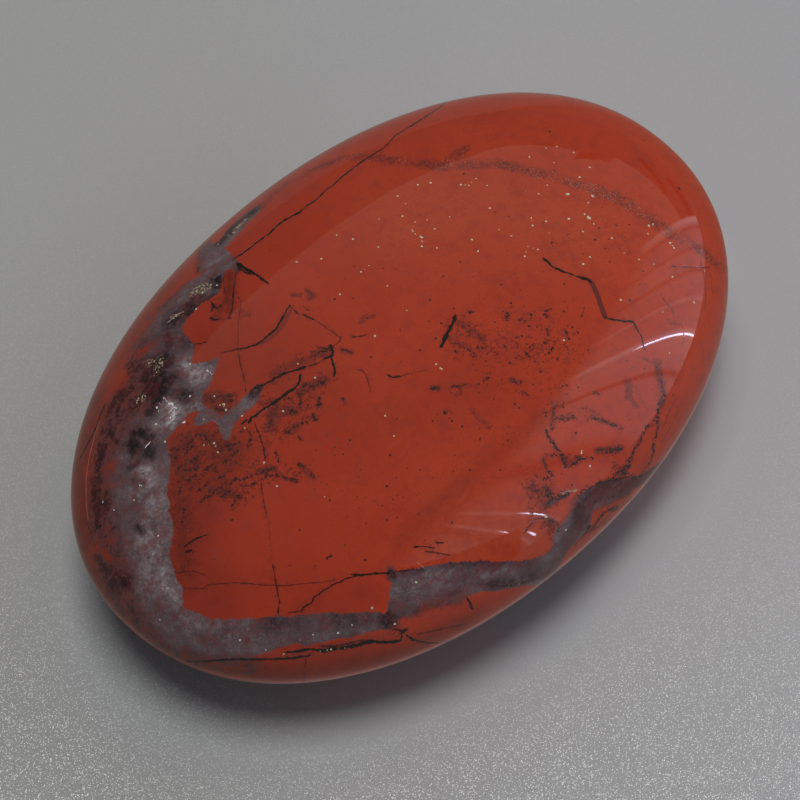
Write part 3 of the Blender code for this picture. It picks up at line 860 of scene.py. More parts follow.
@dataclass
class Marker:
    """Writes the stone's markings into its mesh, as values at its points.

    The lengths in its fields are in millimetres, but layer_gap is in metres.
    """

    mesh: bpy.types.Mesh
    tracer: Tracer
    quartz_reach: float = 6.0  # depths in the quartz are kept this far out and in
    line_slack: float = 0.07  # a line stays whole this far past its last point
    line_taper: float = 0.8  # and then loses this much half width to the millimetre
    speck_reach: float = 0.5
    speck_sizes: tuple[float, float] = (0.6, 0.7)  # the least share of a radius, and the spread
    patch_stride: int = 4  # one in so many of a line's points counts for a patch
    gap_stride: int = 3  # and for the gap between two lines
    layer_gap: float = 0.00095  # between two lines of one layer, where that can be
    most_layers: int = 6
    points: np.ndarray = field(init=False)
    pixels: np.ndarray = field(init=False)

    def __post_init__(self) -> None:
        """Reads the mesh's points and finds their pixels."""
        self.points = points_of(self.mesh)
        self.pixels = self.tracer.camera.pixels_of(self.points)

    def write(self, name: str, values: np.ndarray) -> None:
        """Stores one value, or four, for each point.

        Args:
            name: The attribute's name.
            values: The values, one to a point, or rows of four.
        """
        kind, key = ("FLOAT", "value") if values.ndim == 1 else ("FLOAT_COLOR", "color")
        attribute = self.mesh.attributes.new(name, kind, "POINT")
        attribute.data.foreach_set(key, values.astype(np.float32).ravel())

    def nearest(self, spots: np.ndarray) -> tuple[np.ndarray, np.ndarray]:
        """Finds the nearest spot to each point of the mesh.

        Args:
            spots: Positions, one to a row.

        Returns:
            The spots' places in the list, and their distances in millimetres.
        """
        tree = KDTree(len(spots))
        for index, spot in enumerate(spots):
            tree.insert(spot, index)
        tree.balance()
        found = [tree.find(point) for point in self.points]
        places = np.array([item[1] for item in found])
        return places, np.array([item[2] for item in found]) / MM

    def inside(self, outline: Pixels) -> np.ndarray:
        """Tells which points show inside an outline of pixels.

        Args:
            outline: The outline's corners.

        Returns:
            True for each point whose pixel is inside.
        """
        x, y = self.pixels.T
        within = np.zeros(len(x), bool)
        for (x0, y0), (x1, y1) in zip(outline, outline[1:] + outline[:1]):
            if y0 != y1:
                at = x0 + (y - y0) / (y1 - y0) * (x1 - x0)
                within ^= ((y0 > y) != (y1 > y)) & (x < at)
        return within

    def lay(self, lines: tuple[Mark, ...]) -> Laid:
        """Lays marks on the stone, on its far side too where they go through.

        Args:
            lines: The marks.

        Returns:
            Each mark with each of its stretches.
        """
        return [
            (line, path)
            for line in lines
            for side in (Side if line.through else (Side.FRONT,))
            for path in self.tracer.lay(line.pixels, side)
        ]

    def mark_quartz(self) -> None:
        """Stores how deep each point lies in the quartz, in millimetres."""
        depth = np.full(len(self.points), -np.inf)
        for outline in (GREAT_BAND, RIM_SLIVER, WEDGE):
            edge = Mark(0.0, 1.0, outline + outline[:1], through=True)
            _, gap = self.nearest(np.concatenate([path.points for _, path in self.lay((edge,))]))
            depth = np.maximum(depth, np.where(self.inside(outline), gap, -gap))
        self.write("quartz", np.clip(depth, -self.quartz_reach, self.quartz_reach))

    def mark_patches(self, name: str, patches: tuple[Mark, ...]) -> None:
        """Stores soft patches, each fading out with distance from its line.

        Args:
            name: The attribute's name.
            patches: The patches.
        """
        amount = np.zeros(len(self.points))
        for patch, path in self.lay(patches):
            spots = path.points[:: self.patch_stride]
            gaps = [np.linalg.norm(self.points - spot, axis=1) for spot in spots]
            fade = np.exp(-((np.min(gaps, axis=0) / MM / patch.size) ** 2))
            amount = np.maximum(amount, patch.strength * fade)
        self.write(name, amount)

    def mark_lines(self, name: str, laid: Laid) -> None:
        """Stores, for the nearest line, how far it is and on which side.

        The four values are the signed distance, the half width and the plain
        distance, in millimetres, and the line's darkness. Past a line's end its
        half width falls below nothing, so that it ends in a point.

        Args:
            name: The attribute's name.
            laid: The lines.
        """
        paths = [path for _, path in laid]
        counts = [len(path.points) for path in paths]
        spots = np.concatenate([path.points for path in paths])
        runs = np.concatenate([path.runs for path in paths])
        normals = np.concatenate([path.normals for path in paths])
        halves = np.repeat([mark.size / 2.0 for mark, _ in laid], counts)
        darks = np.repeat([mark.strength for mark, _ in laid], counts)
        places, gap = self.nearest(spots)
        offset = (self.points - spots[places]) / MM
        signed = np.sum(offset * np.cross(normals[places], runs[places]), axis=1)
        past = np.abs(np.sum(offset * runs[places], axis=1)) - self.line_slack
        half = halves[places] - self.line_taper * np.maximum(past, 0.0)
        self.write(name, np.stack([signed, half, gap, darks[places]], axis=1))

    def mark_specks(self, kind: SpeckKind) -> None:
        """Stores, for the nearest speck, the way to it and its radius.

        The radius falls below nothing away from every speck, so that halfway
        between two of them nothing shows.

        Args:
            kind: The specks.
        """
        met = [self.tracer.meet(pixel, Side.FRONT) for pixel in kind.spots]
        spots = np.array([hit[0] for hit in met if hit is not None])
        places, gap = self.nearest(spots)
        offset = (self.points - spots[places]) / MM
        least, spread = self.speck_sizes
        vary = least + spread * np.modf(places * GOLDEN_SHARE)[0]
        radius = np.where(gap < self.speck_reach, kind.radius * vary, -1.0)
        self.write(kind.name, np.concatenate([offset, radius[:, None]], axis=1))

    def share_out(self, laid: Laid) -> list[Laid]:
        """Sorts lines into layers, so that those in one layer keep apart.

        Args:
            laid: The lines.

        Returns:
            The lines of each layer.
        """
        layers: list[Laid] = [[] for _ in range(self.most_layers)]
        for line in sorted(laid, key=lambda item: -len(item[1].points)):
            mine = line[1].points[:: self.gap_stride]
            gaps = []
            for layer in layers:
                there = [path.points[:: self.gap_stride] for _, path in layer]
                if there:
                    between = mine[:, None, :] - np.concatenate(there)[None, :, :]
                    gaps.append(float(np.linalg.norm(between, axis=2).min()))
                else:
                    gaps.append(math.inf)
            free = [index for index, gap in enumerate(gaps) if gap > self.layer_gap]
            layers[free[0] if free else int(np.argmax(gaps))].append(line)
        return [layer for layer in layers if layer]

    def mark_layers(self, name: str, lines: tuple[Mark, ...]) -> int:
        """Writes lines into the mesh in layers.

        Args:
            name: The layers' name.
            lines: The lines.

        Returns:
            The number of layers.
        """
        layers = self.share_out(self.lay(lines))
        for index, layer in enumerate(layers):
            self.mark_lines(f"{name}_{index}", layer)
            LOG.info("%s layer %d holds %d lines", name, index, len(layer))
        return len(layers)


Value: TypeAlias = "float | Colour | Triple | Wire"


@dataclass(frozen=True)
class Wire:
    """A value on its way through a node tree, and the sums that are made of it."""

    sheet: "Sheet"
    socket: bpy.types.NodeSocket

    def math(self, operation: str, *others: Value, clamp: bool = False) -> "Wire":
        """Puts it through a sum on numbers."""
        return self.sheet.wire("Math", (self, *others), operation=operation, use_clamp=clamp)

    def vector(self, operation: str, *others: Value, out: str = "Vector") -> "Wire":
        """Puts it through a sum on vectors."""
        return self.sheet.wire("VectorMath", (self, *others), out, operation=operation)

    def __add__(self, other: Value) -> "Wire":
        """Adds a number."""
        return self.math("ADD", other)

    def __sub__(self, other: Value) -> "Wire":
        """Takes a number away."""
        return self.math("SUBTRACT", other)

    def __mul__(self, other: Value) -> "Wire":
        """Multiplies it by a number."""
        return self.math("MULTIPLY", other)

    def __truediv__(self, other: Value) -> "Wire":
        """Divides it by a number."""
        return self.math("DIVIDE", other)

    def __or__(self, other: Value) -> "Wire":
        """Keeps the greater of two numbers, which joins two masks."""
        return self.math("MAXIMUM", other)

    def __abs__(self) -> "Wire":
        """Drops its sign."""
        return self.math("ABSOLUTE")

    def scaled(self, slope: Value, base: Value) -> "Wire":
        """Multiplies it by a slope and adds a base."""
        return self.math("MULTIPLY_ADD", slope, base)

    def tinted(self, tint: Value) -> "Wire":
        """Multiplies it by a colour, or a vector by a vector."""
        return self.vector("MULTIPLY", tint)

    def along(self, direction: np.ndarray) -> "Wire":
        """How far it goes in a direction."""
        return self.vector("DOT_PRODUCT", tuple(direction), out="Value")

    def ease(self, low: Value, high: Value, start: Value = 0.0, end: Value = 1.0) -> "Wire":
        """Maps low to high onto start to end, with soft ends."""
        given = (self, low, high, start, end)
        return self.sheet.wire("MapRange", given, interpolation_type="SMOOTHSTEP")

    def fade(self, low: Value, high: Value, start: Value = 1.0) -> "Wire":
        """Falls from the start to nothing between low and high."""
        return self.ease(low, high, start, 0.0)

    def beside(self, name: str) -> "Wire":
        """Another output of the node that it comes from."""
        return Wire(self.sheet, self.socket.node.outputs[name])

    def split(self) -> tuple["Wire", ...]:
        """Splits a colour into its three numbers."""
        red = self.sheet.wire("SeparateColor", (self,))
        return red, red.beside("Green"), red.beside("Blue")


@dataclass
class Sheet:
    """A node tree that is being filled in."""

    tree: bpy.types.NodeTree

    @staticmethod
    def of(owner: bpy.types.Material | bpy.types.World) -> "Sheet":
        """Gives a material or a world an empty node tree.

        Args:
            owner: The material or the world.

        Returns:
            The tree's sheet.
        """
        owner.use_nodes = True
        owner.node_tree.nodes.clear()
        return Sheet(owner.node_tree)

    def feed(self, socket: bpy.types.NodeSocket, value: Value) -> None:
        """Joins a wire to a socket, or gives the socket a plain value.

        Args:
            socket: The socket.
            value: The wire or the value.
        """
        if isinstance(value, Wire):
            self.tree.links.new(value.socket, socket)
        else:
            socket.default_value = value

    def wire(
        self,
        kind: str,
        given: tuple[Value, ...] | dict[str | int, Value] = (),
        out: int | str = 0,
        **settings: object,
    ) -> Wire:
        """Adds a node and feeds it.

        Args:
            kind: The node's type, without its Shader prefix.
            given: What goes into it, in the order of its sockets or by their names.
            out: Which of its outputs is wanted.
            settings: The node's own properties.

        Returns:
            That output.
        """
        node = self.tree.nodes.new("ShaderNode" + kind)
        for name, value in settings.items():
            setattr(node, name, value)
        named = given if isinstance(given, dict) else dict(enumerate(given))
        for key, value in named.items():
            self.feed(node.inputs[key], value)
        return Wire(self, node.outputs[out])

    def end(self, kind: str, surface: Wire) -> None:
        """Adds the output node and joins the shader to it."""
        node = self.tree.nodes.new("ShaderNodeOutput" + kind)
        self.feed(node.inputs["Surface"], surface)

    def mix(self, share: Value, first: Value, second: Value) -> Wire:
        """Mixes two colours."""
        return self.wire("Mix", {"Factor": share, 6: first, 7: second}, 2, data_type="RGBA")

    def read_four(self, name: str) -> tuple[Wire, Wire, Wire, Wire]:
        """Reads one of the mesh's own rows of four values."""
        colour = self.wire("Attribute", (), "Color", attribute_name=name)
        return (*colour.split(), colour.beside("Alpha"))

    def cells(self, place: Value, scale: Value, **settings: object) -> tuple[Wire, ...]:
        """Fills space with cells.

        Args:
            place: The position.
            scale: Cells to the unit of length.
            settings: The node's own properties.

        Returns:
            The distance to the cell's middle, and its three random numbers.
        """
        given = {"Vector": place, "Scale": scale}
        distance = self.wire("TexVoronoi", given, "Distance", **settings)
        return (distance, *distance.beside("Color").split())

    def ramp(self, value: Value, stops: Stops) -> Wire:
        """Adds a row of colours along 0 to 1.

        Args:
            value: The place along the row.
            stops: Each colour with its place.

        Returns:
            The colour there.
        """
        found = self.wire("ValToRGB", (value,), "Color")
        row = found.socket.node.color_ramp.elements
        for _ in stops[2:]:
            row.new(0.5)
        for element, (place, colour) in zip(row, stops):
            element.position = place
            element.color = colour
        return found


def new_group(
    name: str, inputs: dict[str, str], outputs: tuple[str, ...]
) -> tuple[Sheet, list[Wire], bpy.types.Node]:
    """Starts a shader node group that gives masks.

    Args:
        name: The group's name.
        inputs: Each input's name and kind of socket.
        outputs: Each output's name.

    Returns:
        The group's sheet, what its inputs give, and its output node.
    """
    tree = bpy.data.node_groups.new(name, "ShaderNodeTree")
    for label, kind in inputs.items():
        tree.interface.new_socket(label, in_out="INPUT", socket_type="NodeSocket" + kind)
    for label in outputs:
        tree.interface.new_socket(label, in_out="OUTPUT", socket_type="NodeSocketFloat")
    sheet, given = Sheet(tree), tree.nodes.new("NodeGroupInput")
    wires = [Wire(sheet, given.outputs[label]) for label in inputs]
    return sheet, wires, tree.nodes.new("NodeGroupOutput")


def crack_group() -> bpy.types.NodeTree:
    """The node group that draws one layer of lines.

    Returns:
        A group that turns a layer's four values into a crisp, ragged line and
        the faint stain beside it.
    """
    labels = ("Side", "Half Width", "Reach", "Darkness", "Wander", "Swell")
    inputs = dict.fromkeys(labels, "Float")
    sheet, given, made = new_group("crack_line", inputs, ("Line", "Stain"))
    side, width, reach, darkness, wander, swell = given
    edge = 0.03  # millimetres over which a line's side fades
    half = width * swell
    line = abs(side + wander).fade(half - edge, half + edge)
    gate = (reach - width).fade(0.28, 0.42) * width.ease(-0.01, 0.02)
    sheet.feed(made.inputs["Line"], line * (gate * darkness))
    sheet.feed(made.inputs["Stain"], reach.fade(0.0, 0.55) * darkness)
    return sheet.tree


def speck_group() -> bpy.types.NodeTree:
    """The node group that scatters small round specks.

    Returns:
        A group that gives a mask of specks, with only some of the cells filled.
    """
    inputs = {"Place": "Vector", "Scale": "Float", "Radius": "Float", "Share": "Float"}
    sheet, given, made = new_group("scattered_specks", inputs, ("Specks",))
    place, scale, radius, share = given
    distance, chance, vary, _ = sheet.cells(place, scale)
    size = radius * vary.ease(0.0, 1.0, 0.5, 1.2) * scale
    dot = distance.fade(size * 0.6, size)
    sheet.feed(made.inputs["Specks"], dot * chance.math("LESS_THAN", share))
    return sheet.tree


@dataclass
class Painter:
    """Paints a material in layers, each over the ones before it.

    It measures places on the object in millimetres, also across to the right.
    """

    name: str
    camera: PhotoCamera
    material: bpy.types.Material = field(init=False)
    sheet: Sheet = field(init=False)
    place: Wire = field(init=False)
    across: Wire = field(init=False)
    colour: Value = field(init=False)

    def __post_init__(self) -> None:
        """Starts an empty material."""
        self.material = bpy.data.materials.new(self.name)
        self.sheet = Sheet.of(self.material)
        self.place = self.sheet.wire("TexCoord", (), "Object").tinted((1.0 / MM,) * 3)
        self.across = self.place.along(self.camera.axes[0])

    def read(self, name: str) -> Wire:
        """Reads one of the mesh's own values."""
        return self.sheet.wire("Attribute", (), "Fac", attribute_name=name)

    def cover(self, share: Value, tint: Value) -> None:
        """Lays a share of a colour over what is painted so far."""
        self.colour = self.sheet.mix(share, self.colour, tint)

    def noise(
        self, scale: float, detail: float, rough: float = 0.55, twist: float = 0.0,
        place: Wire | None = None,
    ) -> Wire:
        """Spreads noise over the object.

        Args:
            scale: One over the size of its features, in millimetres.
            detail: How many finer sizes lie in it.
            rough: How strong those are.
            twist: How far it is swirled.
            place: The place, where that is another than the object's own.

        Returns:
            The noise, from 0 to 1.
        """
        given = {"Vector": place or self.place, "Scale": scale, "Detail": detail}
        given |= {"Roughness": rough, "Distortion": twist}
        return self.sheet.wire("TexNoise", given, "Fac")

    def waver(self, scale: float, detail: float, rough: float = 0.55) -> Wire:
        """Spreads noise round zero over the object."""
        return self.noise(scale, detail, rough) - 0.5


@dataclass
class JasperPainter(Painter):
    """Paints the polished jasper with its markings.

    The layers are how many layers of each kind of line the mesh holds.
    """

    finish: JasperFinish
    layers: dict[str, int]

    def paint(self) -> bpy.types.Material:
        """Paints the whole material and joins its shader.

        Returns:
            The material.
        """
        look, sheet = self.finish, self.sheet
        self.paint_body()
        self.paint_stipple()
        self.paint_smears()
        self.paint_crackle()
        self.paint_veil()
        quartz = self.paint_quartz()
        self.paint_crystals()
        crumbs = self.paint_crumbling()
        lines = self.paint_cracks() | crumbs
        self.paint_pale_lines()
        self.paint_specks()
        gloss = quartz.scaled(
            look.quartz_gloss, lines.scaled(look.crack_gloss - look.gloss, look.gloss)
        )
        relief = {
            "Strength": look.crack_relief,
            "Distance": look.crack_depth,
            "Height": lines * -1.0,
        }
        given = {
            "IOR": look.ior,
            "Base Color": self.colour,
            "Roughness": gloss,
            "Normal": sheet.wire("Bump", relief, "Normal"),
        }
        sheet.end("Material", sheet.wire("BsdfPrincipled", given))
        return self.material

    def paint_body(self) -> None:
        """Lays down the red: slow clouds, faint flow lines and a fine grain, with painted shade to the
        left and painted light to the right.
        """
        look = self.finish
        self.colour = look.red
        self.cover(self.noise(0.09, 3.0, 0.6).ease(0.3, 0.7), look.bright_red)
        self.cover(self.read("paler"), look.pale_red)
        # Painted shade, darker towards the left, and painted light, richer towards the right
        self.cover(self.across.fade(-26.0, 2.0, 0.42), look.brown_red_and_shade)
        self.cover(self.across.ease(4.0, 30.0, 0.0, 0.40), look.lit_rich_red)
        self.cover(self.noise(0.35, 3.0, 0.7, 1.2).ease(0.50, 0.78, 0.0, 0.4), look.deep_red)
        self.cover(self.noise(0.7, 2.0, 0.7).ease(0.46, 0.70, 0.0, 0.5), look.purple_red)
        torn = self.noise(0.9, 3.0, 0.7).ease(0.25, 0.65, 0.45, 1.0)
        # Deep brownish red, partly painted shade along the left and lower rim
        self.cover(self.read("deep") * torn, look.brown_red_and_shade)
        self.cover(self.noise(6.0, 1.0, 0.7).ease(0.30, 0.72, 0.0, 0.24), look.deep_red)

    def scatter(
        self, scale: float, radius: float, share: Value, shift: Triple | None = None
    ) -> Wire:
        """Adds a scatter of specks.

        Args:
            scale: Cells to the millimetre.
            radius: A speck's radius, in millimetres.
            share: The share of cells that hold a speck.
            shift: How far the scatter is moved, to differ from another of its scale.

        Returns:
            The specks' mask.
        """
        group = bpy.data.node_groups.get("scattered_specks") or speck_group()
        place = self.place.vector("ADD", shift) if shift else self.place
        return self.sheet.wire("Group", (place, scale, radius, share), node_tree=group)

    def paint_stipple(self) -> None:
        """Adds dark dots, thick in the stippled patches and sparse elsewhere."""
        amount = self.read("crackle") * 0.16 | self.read("stipple")
        dots = self.scatter(1.8, 0.13, amount.scaled(0.30, 0.0015))
        fine = self.scatter(3.8, 0.08, amount.scaled(0.60, 0.008))
        dust = self.noise(2.2, 2.0, 0.8).ease(0.50, 0.70, 0.0, 0.75)
        self.cover(amount * dust, self.finish.film)
        self.cover((dots | fine * 0.85) * 0.92, self.finish.dot)

    def paint_smears(self) -> None:
        """Adds the brown films, with the black flecks that lie in them."""
        amount = self.read("smear")
        inside = amount.ease(0.08, 0.4)
        edge = self.waver(2.6, 2.0, 0.8).scaled(1.3, amount)
        self.cover(edge.ease(0.26, 0.56, 0.0, 0.54) * inside, self.finish.film)
        self.cover(edge.ease(0.78, 1.12, 0.0, 0.78) * inside, self.finish.plum)
        flecks = amount.scaled(0.20, self.noise(4.6, 1.0, 0.8)).ease(0.74, 0.82)
        self.cover(flecks * amount.ease(0.15, 0.5, 0.0, 0.85), self.finish.fleck)

    def paint_crackle(self) -> None:
        """Adds the fine crackle, a broken net of dark lines drawn out one way."""
        amount = self.read("crackle")
        right, up, _ = self.camera.axes
        slope = self.finish.grain_slope
        grain = right * math.cos(slope) + up * math.sin(slope)
        pulled = {0: tuple(grain), "Scale": self.place.along(grain) * -0.62}
        drawn = self.sheet.wire("VectorMath", pulled, operation="SCALE")
        moved = self.noise(1.3, 2.0, 0.7).beside("Color").tinted((1.3, 1.3, 1.3))
        spot = self.place.vector("ADD", drawn).vector("ADD", moved)
        net = self.sheet.wire(
            "TexVoronoi", {"Vector": spot, "Scale": 1.35}, "Distance", feature="DISTANCE_TO_EDGE"
        )
        near = self.waver(5.0, 1.0, 0.8).scaled(0.13, net)
        shown = amount.scaled(0.32, self.noise(1.9, 2.0, 0.75)).ease(0.62, 0.72)
        shown = shown * amount.ease(0.06, 0.3)
        self.cover(near.fade(0.02, 0.34, 0.36) * shown, self.finish.brown_red_and_shade)
        self.cover(near.fade(0.015, 0.055, 0.82) * shown, self.finish.crackle)

    def paint_veil(self) -> None:
        """Adds the dusty veil that crosses the far end, and the crisp brown band."""
        look = self.finish
        side, half, reach, darkness = self.sheet.read_four("veil")
        wander = self.waver(1.3, 2.0, 0.75)
        haze = abs(wander.scaled(1.1, side)).fade(half * 0.35, half * 1.6)
        gate = reach.fade(1.0, 1.7) * half.ease(-0.01, 0.1) * darkness
        haze = haze * gate
        patchy = self.noise(0.4, 2.0, 0.65).ease(0.36, 0.62, 0.30, 1.0)
        grit = self.noise(4.5, 1.0, 0.85).ease(0.36, 0.62, 0.30, 1.0)
        self.cover(haze * (patchy * grit), look.veil)
        dots = self.scatter(6.5, 0.066, haze * patchy * 0.8)
        self.cover(dots * 0.62, look.veil_grit)
        share = self.read("veil_dust").scaled(1.1, 0.09)
        dust = self.scatter(6.5, 0.066, share, (5.3, 1.7, 8.9))
        self.cover(dust * (haze.ease(0.05, 0.5) * 0.8), look.veil_dust)
        band, _ = self.draw_layers("band", wander * 0.2)
        self.cover(band, look.plum)

    def paint_quartz(self) -> Wire:
        """Adds the grey quartz and the murk along its outer edge.

        Returns:
            The quartz's mask.
        """
        lost = self.read("lost")
        broad = self.waver(0.8, 4.0, 0.65)
        fine = self.waver(3.4, 2.0, 0.75)
        self.paint_murk(broad, fine)
        edge = broad.scaled(lost.scaled(3.6, 0.4), self.read("quartz"))
        mask = fine.scaled(0.60, edge).ease(lost.scaled(-1.5, -0.05), lost.scaled(1.1, 0.05))
        crystal = self.sheet.ramp(self.quartz_level(), self.finish.quartz)
        blush = self.noise(0.75, 2.0, 0.75).ease(0.42, 0.72, 0.0, 0.62)
        blush = blush | self.read("embers") * 0.8
        self.cover(mask, self.sheet.mix(blush, crystal, self.finish.blush))
        return mask

    def paint_murk(self, broad: Wire, fine: Wire) -> None:
        """Adds the maroon and black murk round the quartz's lost outer edge.

        Args:
            broad: Slow noise round zero.
            fine: Quick noise round zero.
        """
        ragged = broad.scaled(3.5, self.read("quartz"))
        beside = self.read("lost") * ragged.ease(-3.6, -1.4)
        cover = fine.scaled(0.8, self.read("murk") | beside * 1.15)
        stretched = self.place.tinted((2.2, 2.2, 0.6))
        scratches = self.noise(2.6, 2.0, 0.75, place=stretched) - 0.5
        tone = scratches.scaled(0.35, self.noise(1.0, 3.0, 0.75, 0.6))
        tone = self.read("embers").scaled(0.22, tone)
        tone = self.read("soot").scaled(-0.30, tone)
        self.cover(cover.ease(0.15, 0.8, 0.0, 0.97), self.sheet.ramp(tone, self.finish.murk))

    def quartz_level(self) -> Wire:
        """Works out how pale the quartz is.

        Returns:
            The paleness, from 0 to 1.
        """
        milky = self.read("milky")
        torn = self.noise(1.8, 3.0, 0.7).ease(0.34, 0.60, 0.30, 1.25)
        _, chance, _, _ = self.sheet.cells(self.place, 2.6)
        level = self.waver(0.42, 3.0, 0.6).scaled(0.50, 0.405)
        level = self.waver(5.5, 1.0, 0.8).scaled(0.26, level)
        level = (chance - 0.5).scaled(milky.scaled(0.20, 0.03), level)
        level = (milky * torn).scaled(0.42, level)
        dark = (self.read("smoky") | self.read("soot")) * torn
        return dark.math("MULTIPLY_ADD", -0.48, level, clamp=True)

    def paint_crystals(self) -> None:
        """Adds the clusters of tiny gold and cream crystals."""
        amount = self.read("crystals")
        sharp = self.noise(4.6, 1.0, 0.8)
        mask = amount.scaled(0.28, sharp).ease(0.64, 0.76) * amount.ease(0.2, 0.6, 0.0, 0.95)
        self.cover(mask, self.sheet.ramp(sharp, self.finish.crystal))

    def draw_layers(self, name: str, wander: Value, swell: Value = 1.0) -> tuple[Wire, Wire]:
        """Draws every layer of one kind of line.

        Args:
            name: The kind, which the layers' attributes are named for.
            wander: How far the lines stray sideways, in millimetres.
            swell: What their width is multiplied by.

        Returns:
            The masks of the lines and of the stain beside them.
        """
        group = bpy.data.node_groups.get("crack_line") or crack_group()
        lines, stains = [], []
        for index in range(self.layers[name]):
            given = (*self.sheet.read_four(f"{name}_{index}"), wander, swell)
            line = self.sheet.wire("Group", given, "Line", node_tree=group)
            lines.append(line)
            stains.append(line.beside("Stain"))
        return reduce(or_, lines), reduce(or_, stains)

    def paint_cracks(self) -> Wire:
        """Adds the clean cracks.

        Returns:
            The cracks' mask.
        """
        wander = self.waver(4.0, 1.0, 0.7).scaled(0.07, self.waver(1.5, 1.0, 0.6) * 0.12)
        swell = self.noise(1.7, 1.0, 0.8).ease(0.32, 0.68, 0.55, 1.40)
        line, stain = self.draw_layers("cracks", wander, swell)
        blotch = self.noise(2.6, 2.0, 0.8).ease(0.48, 0.64, 0.0, 0.75)
        self.cover(stain * blotch, self.finish.stain)
        self.cover(line, self.finish.crack_black)
        return line

    def paint_crumbling(self) -> Wire:
        """Adds the crumbling cracks and the dark flakes.

        Returns:
            Their mask.
        """
        wander = self.waver(2.6, 1.0, 0.7).scaled(0.42, self.waver(6.5, 0.0) * 0.30)
        swell = self.noise(4.4, 1.0, 0.8).ease(0.34, 0.66, -0.2, 1.9)
        line, stain = self.draw_layers("crumbling", wander, swell)
        blotch = self.noise(3.6, 1.0, 0.85).ease(0.48, 0.62, 0.0, 0.85)
        self.cover(stain * blotch, self.finish.film)
        self.cover(line, self.finish.fleck)
        return line

    def paint_pale_lines(self) -> None:
        """Adds the pale scratches, which are whiter the stronger they are."""
        line, _ = self.draw_layers("pale", self.waver(3.0, 1.0, 0.6) * 0.12)
        white = line.ease(0.6, 0.9)
        self.cover(line, self.sheet.mix(white, self.finish.pale_line, self.finish.white))

    def paint_specks(self) -> None:
        """Adds the traced specks and a thin scatter of pale ones."""
        share = self.read("speckle") * 0.16
        loose = self.scatter(1.5, 0.075, share, (3.1, 7.7, 1.9))
        self.cover(loose * 0.6, self.finish.cream)
        ragged = self.waver(5.5, 1.0, 0.7)
        # The white sparks among the specks are partly painted glints
        for kind in SPECKS:
            way = self.sheet.wire("Attribute", (), "Vector", attribute_name=kind.name)
            radius = way.beside("Alpha")
            off = ragged.scaled(0.22, way.vector("LENGTH", out="Value"))
            mask = off.fade(radius * 0.5, radius * 1.2, 0.9)
            self.cover(mask * radius.math("GREATER_THAN", 0.0), kind.tint)


@dataclass
class PalmStone:
    """The stone: its polished surface, its markings and its finish."""

    camera: PhotoCamera
    form: StoneForm = field(default_factory=StoneForm)
    finish: JasperFinish = field(default_factory=JasperFinish)

    def build(self) -> bpy.types.Object:
        """Makes the stone in place of its plain solid.

        Returns:
            The stone.
        """
        mesh = self.form.build_mesh()
        stone = bpy.data.objects.new("polished_stone", mesh)
        bpy.context.scene.collection.objects.link(stone)
        layers = self.mark(mesh)
        painter = JasperPainter("polished_red_jasper", self.camera, self.finish, layers)
        mesh.materials.append(painter.paint())
        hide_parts(NODE)
        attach(stone, "root")
        return stone

    def mark(self, mesh: bpy.types.Mesh) -> dict[str, int]:
        """Writes every marking into the mesh.

        Args:
            mesh: The stone's mesh.

        Returns:
            The number of layers of each kind of line.
        """
        corners = [vert.co for vert in mesh.vertices]
        faces = [tuple(face.vertices) for face in mesh.polygons]
        marker = Marker(mesh, Tracer(self.camera, BVHTree.FromPolygons(corners, faces)))
        marker.mark_quartz()
        for name, patches in PATCHES.items():
            marker.mark_patches(name, patches)
        for kind in SPECKS:
            marker.mark_specks(kind)
        marker.mark_lines("veil", marker.lay(VEIL))
        marker.mark_lines("pale_0", marker.lay(PALE_LINES))
        marker.mark_lines("band_0", marker.lay(BANDS))
        return {
            "pale": 1,
            "band": 1,
            "cracks": marker.mark_layers("cracks", CRACKS),
            "crumbling": marker.mark_layers("crumbling", CRUMBLING),
        }


@dataclass(frozen=True)
class Gap:
    """A gap in the curtain that bright daylight comes through.

    Its place along the curtain, half width, foot and head are in the same
    shares of the ceiling's height as the curtain's own, and level is its light.
    """

    along: float
    half: float
    foot: float
    head: float
    level: float


@dataclass(frozen=True)
class Streak:
    """A dark bar high in the room, between two azimuths from the away direction.

    The angles are in degrees: where it starts and ends, how high it is at each
    of them, and half its thickness.
    """

    start: float
    end: float
    start_height: float
    end_height: float
    half: float


@dataclass(frozen=True)
class Curtain:
    """A pleated curtain at the right, in shares of the ceiling's height.

    It hangs in an upright plane that starts at offset to the right and leans
    further right as it goes away. Each pleat is its place and its light.
    """

    offset: float = 0.77
    lean: float = 0.42
    near: float = -0.62
    far: float = 1.22
    pleats: Pixels = (
        (-0.60, 0.28), (-0.55, 0.32), (-0.44, 0.34), (-0.41, 0.16), (-0.388, 0.28),
        (-0.382, 0.90), (-0.376, 0.32), (-0.332, 0.32), (-0.325, 0.98), (-0.319, 0.38),
        (-0.22, 0.38), (-0.18, 0.16), (-0.15, 0.30), (-0.12, 0.58), (0.035, 0.74),
        (0.052, 0.22), (0.07, 0.75), (0.17, 0.92), (0.20, 1.60), (0.22, 0.66),
        (0.34, 0.60), (0.362, 0.95), (0.38, 0.56), (0.51, 0.60), (0.545, 0.30),
        (0.58, 0.64), (0.71, 0.62), (0.75, 0.34), (0.79, 0.54), (0.97, 0.48),
        (1.02, 0.26), (1.13, 0.95),
    )
    gaps: tuple[Gap, ...] = (
        Gap(0.191, 0.0056, -0.03, 0.64, 13.0),
        Gap(-0.322, 0.0018, 0.20, 0.44, 16.0),
        Gap(-0.366, 0.0028, 0.08, 0.19, 18.0),
        Gap(-0.380, 0.0017, 0.34, 0.43, 14.0),
    )


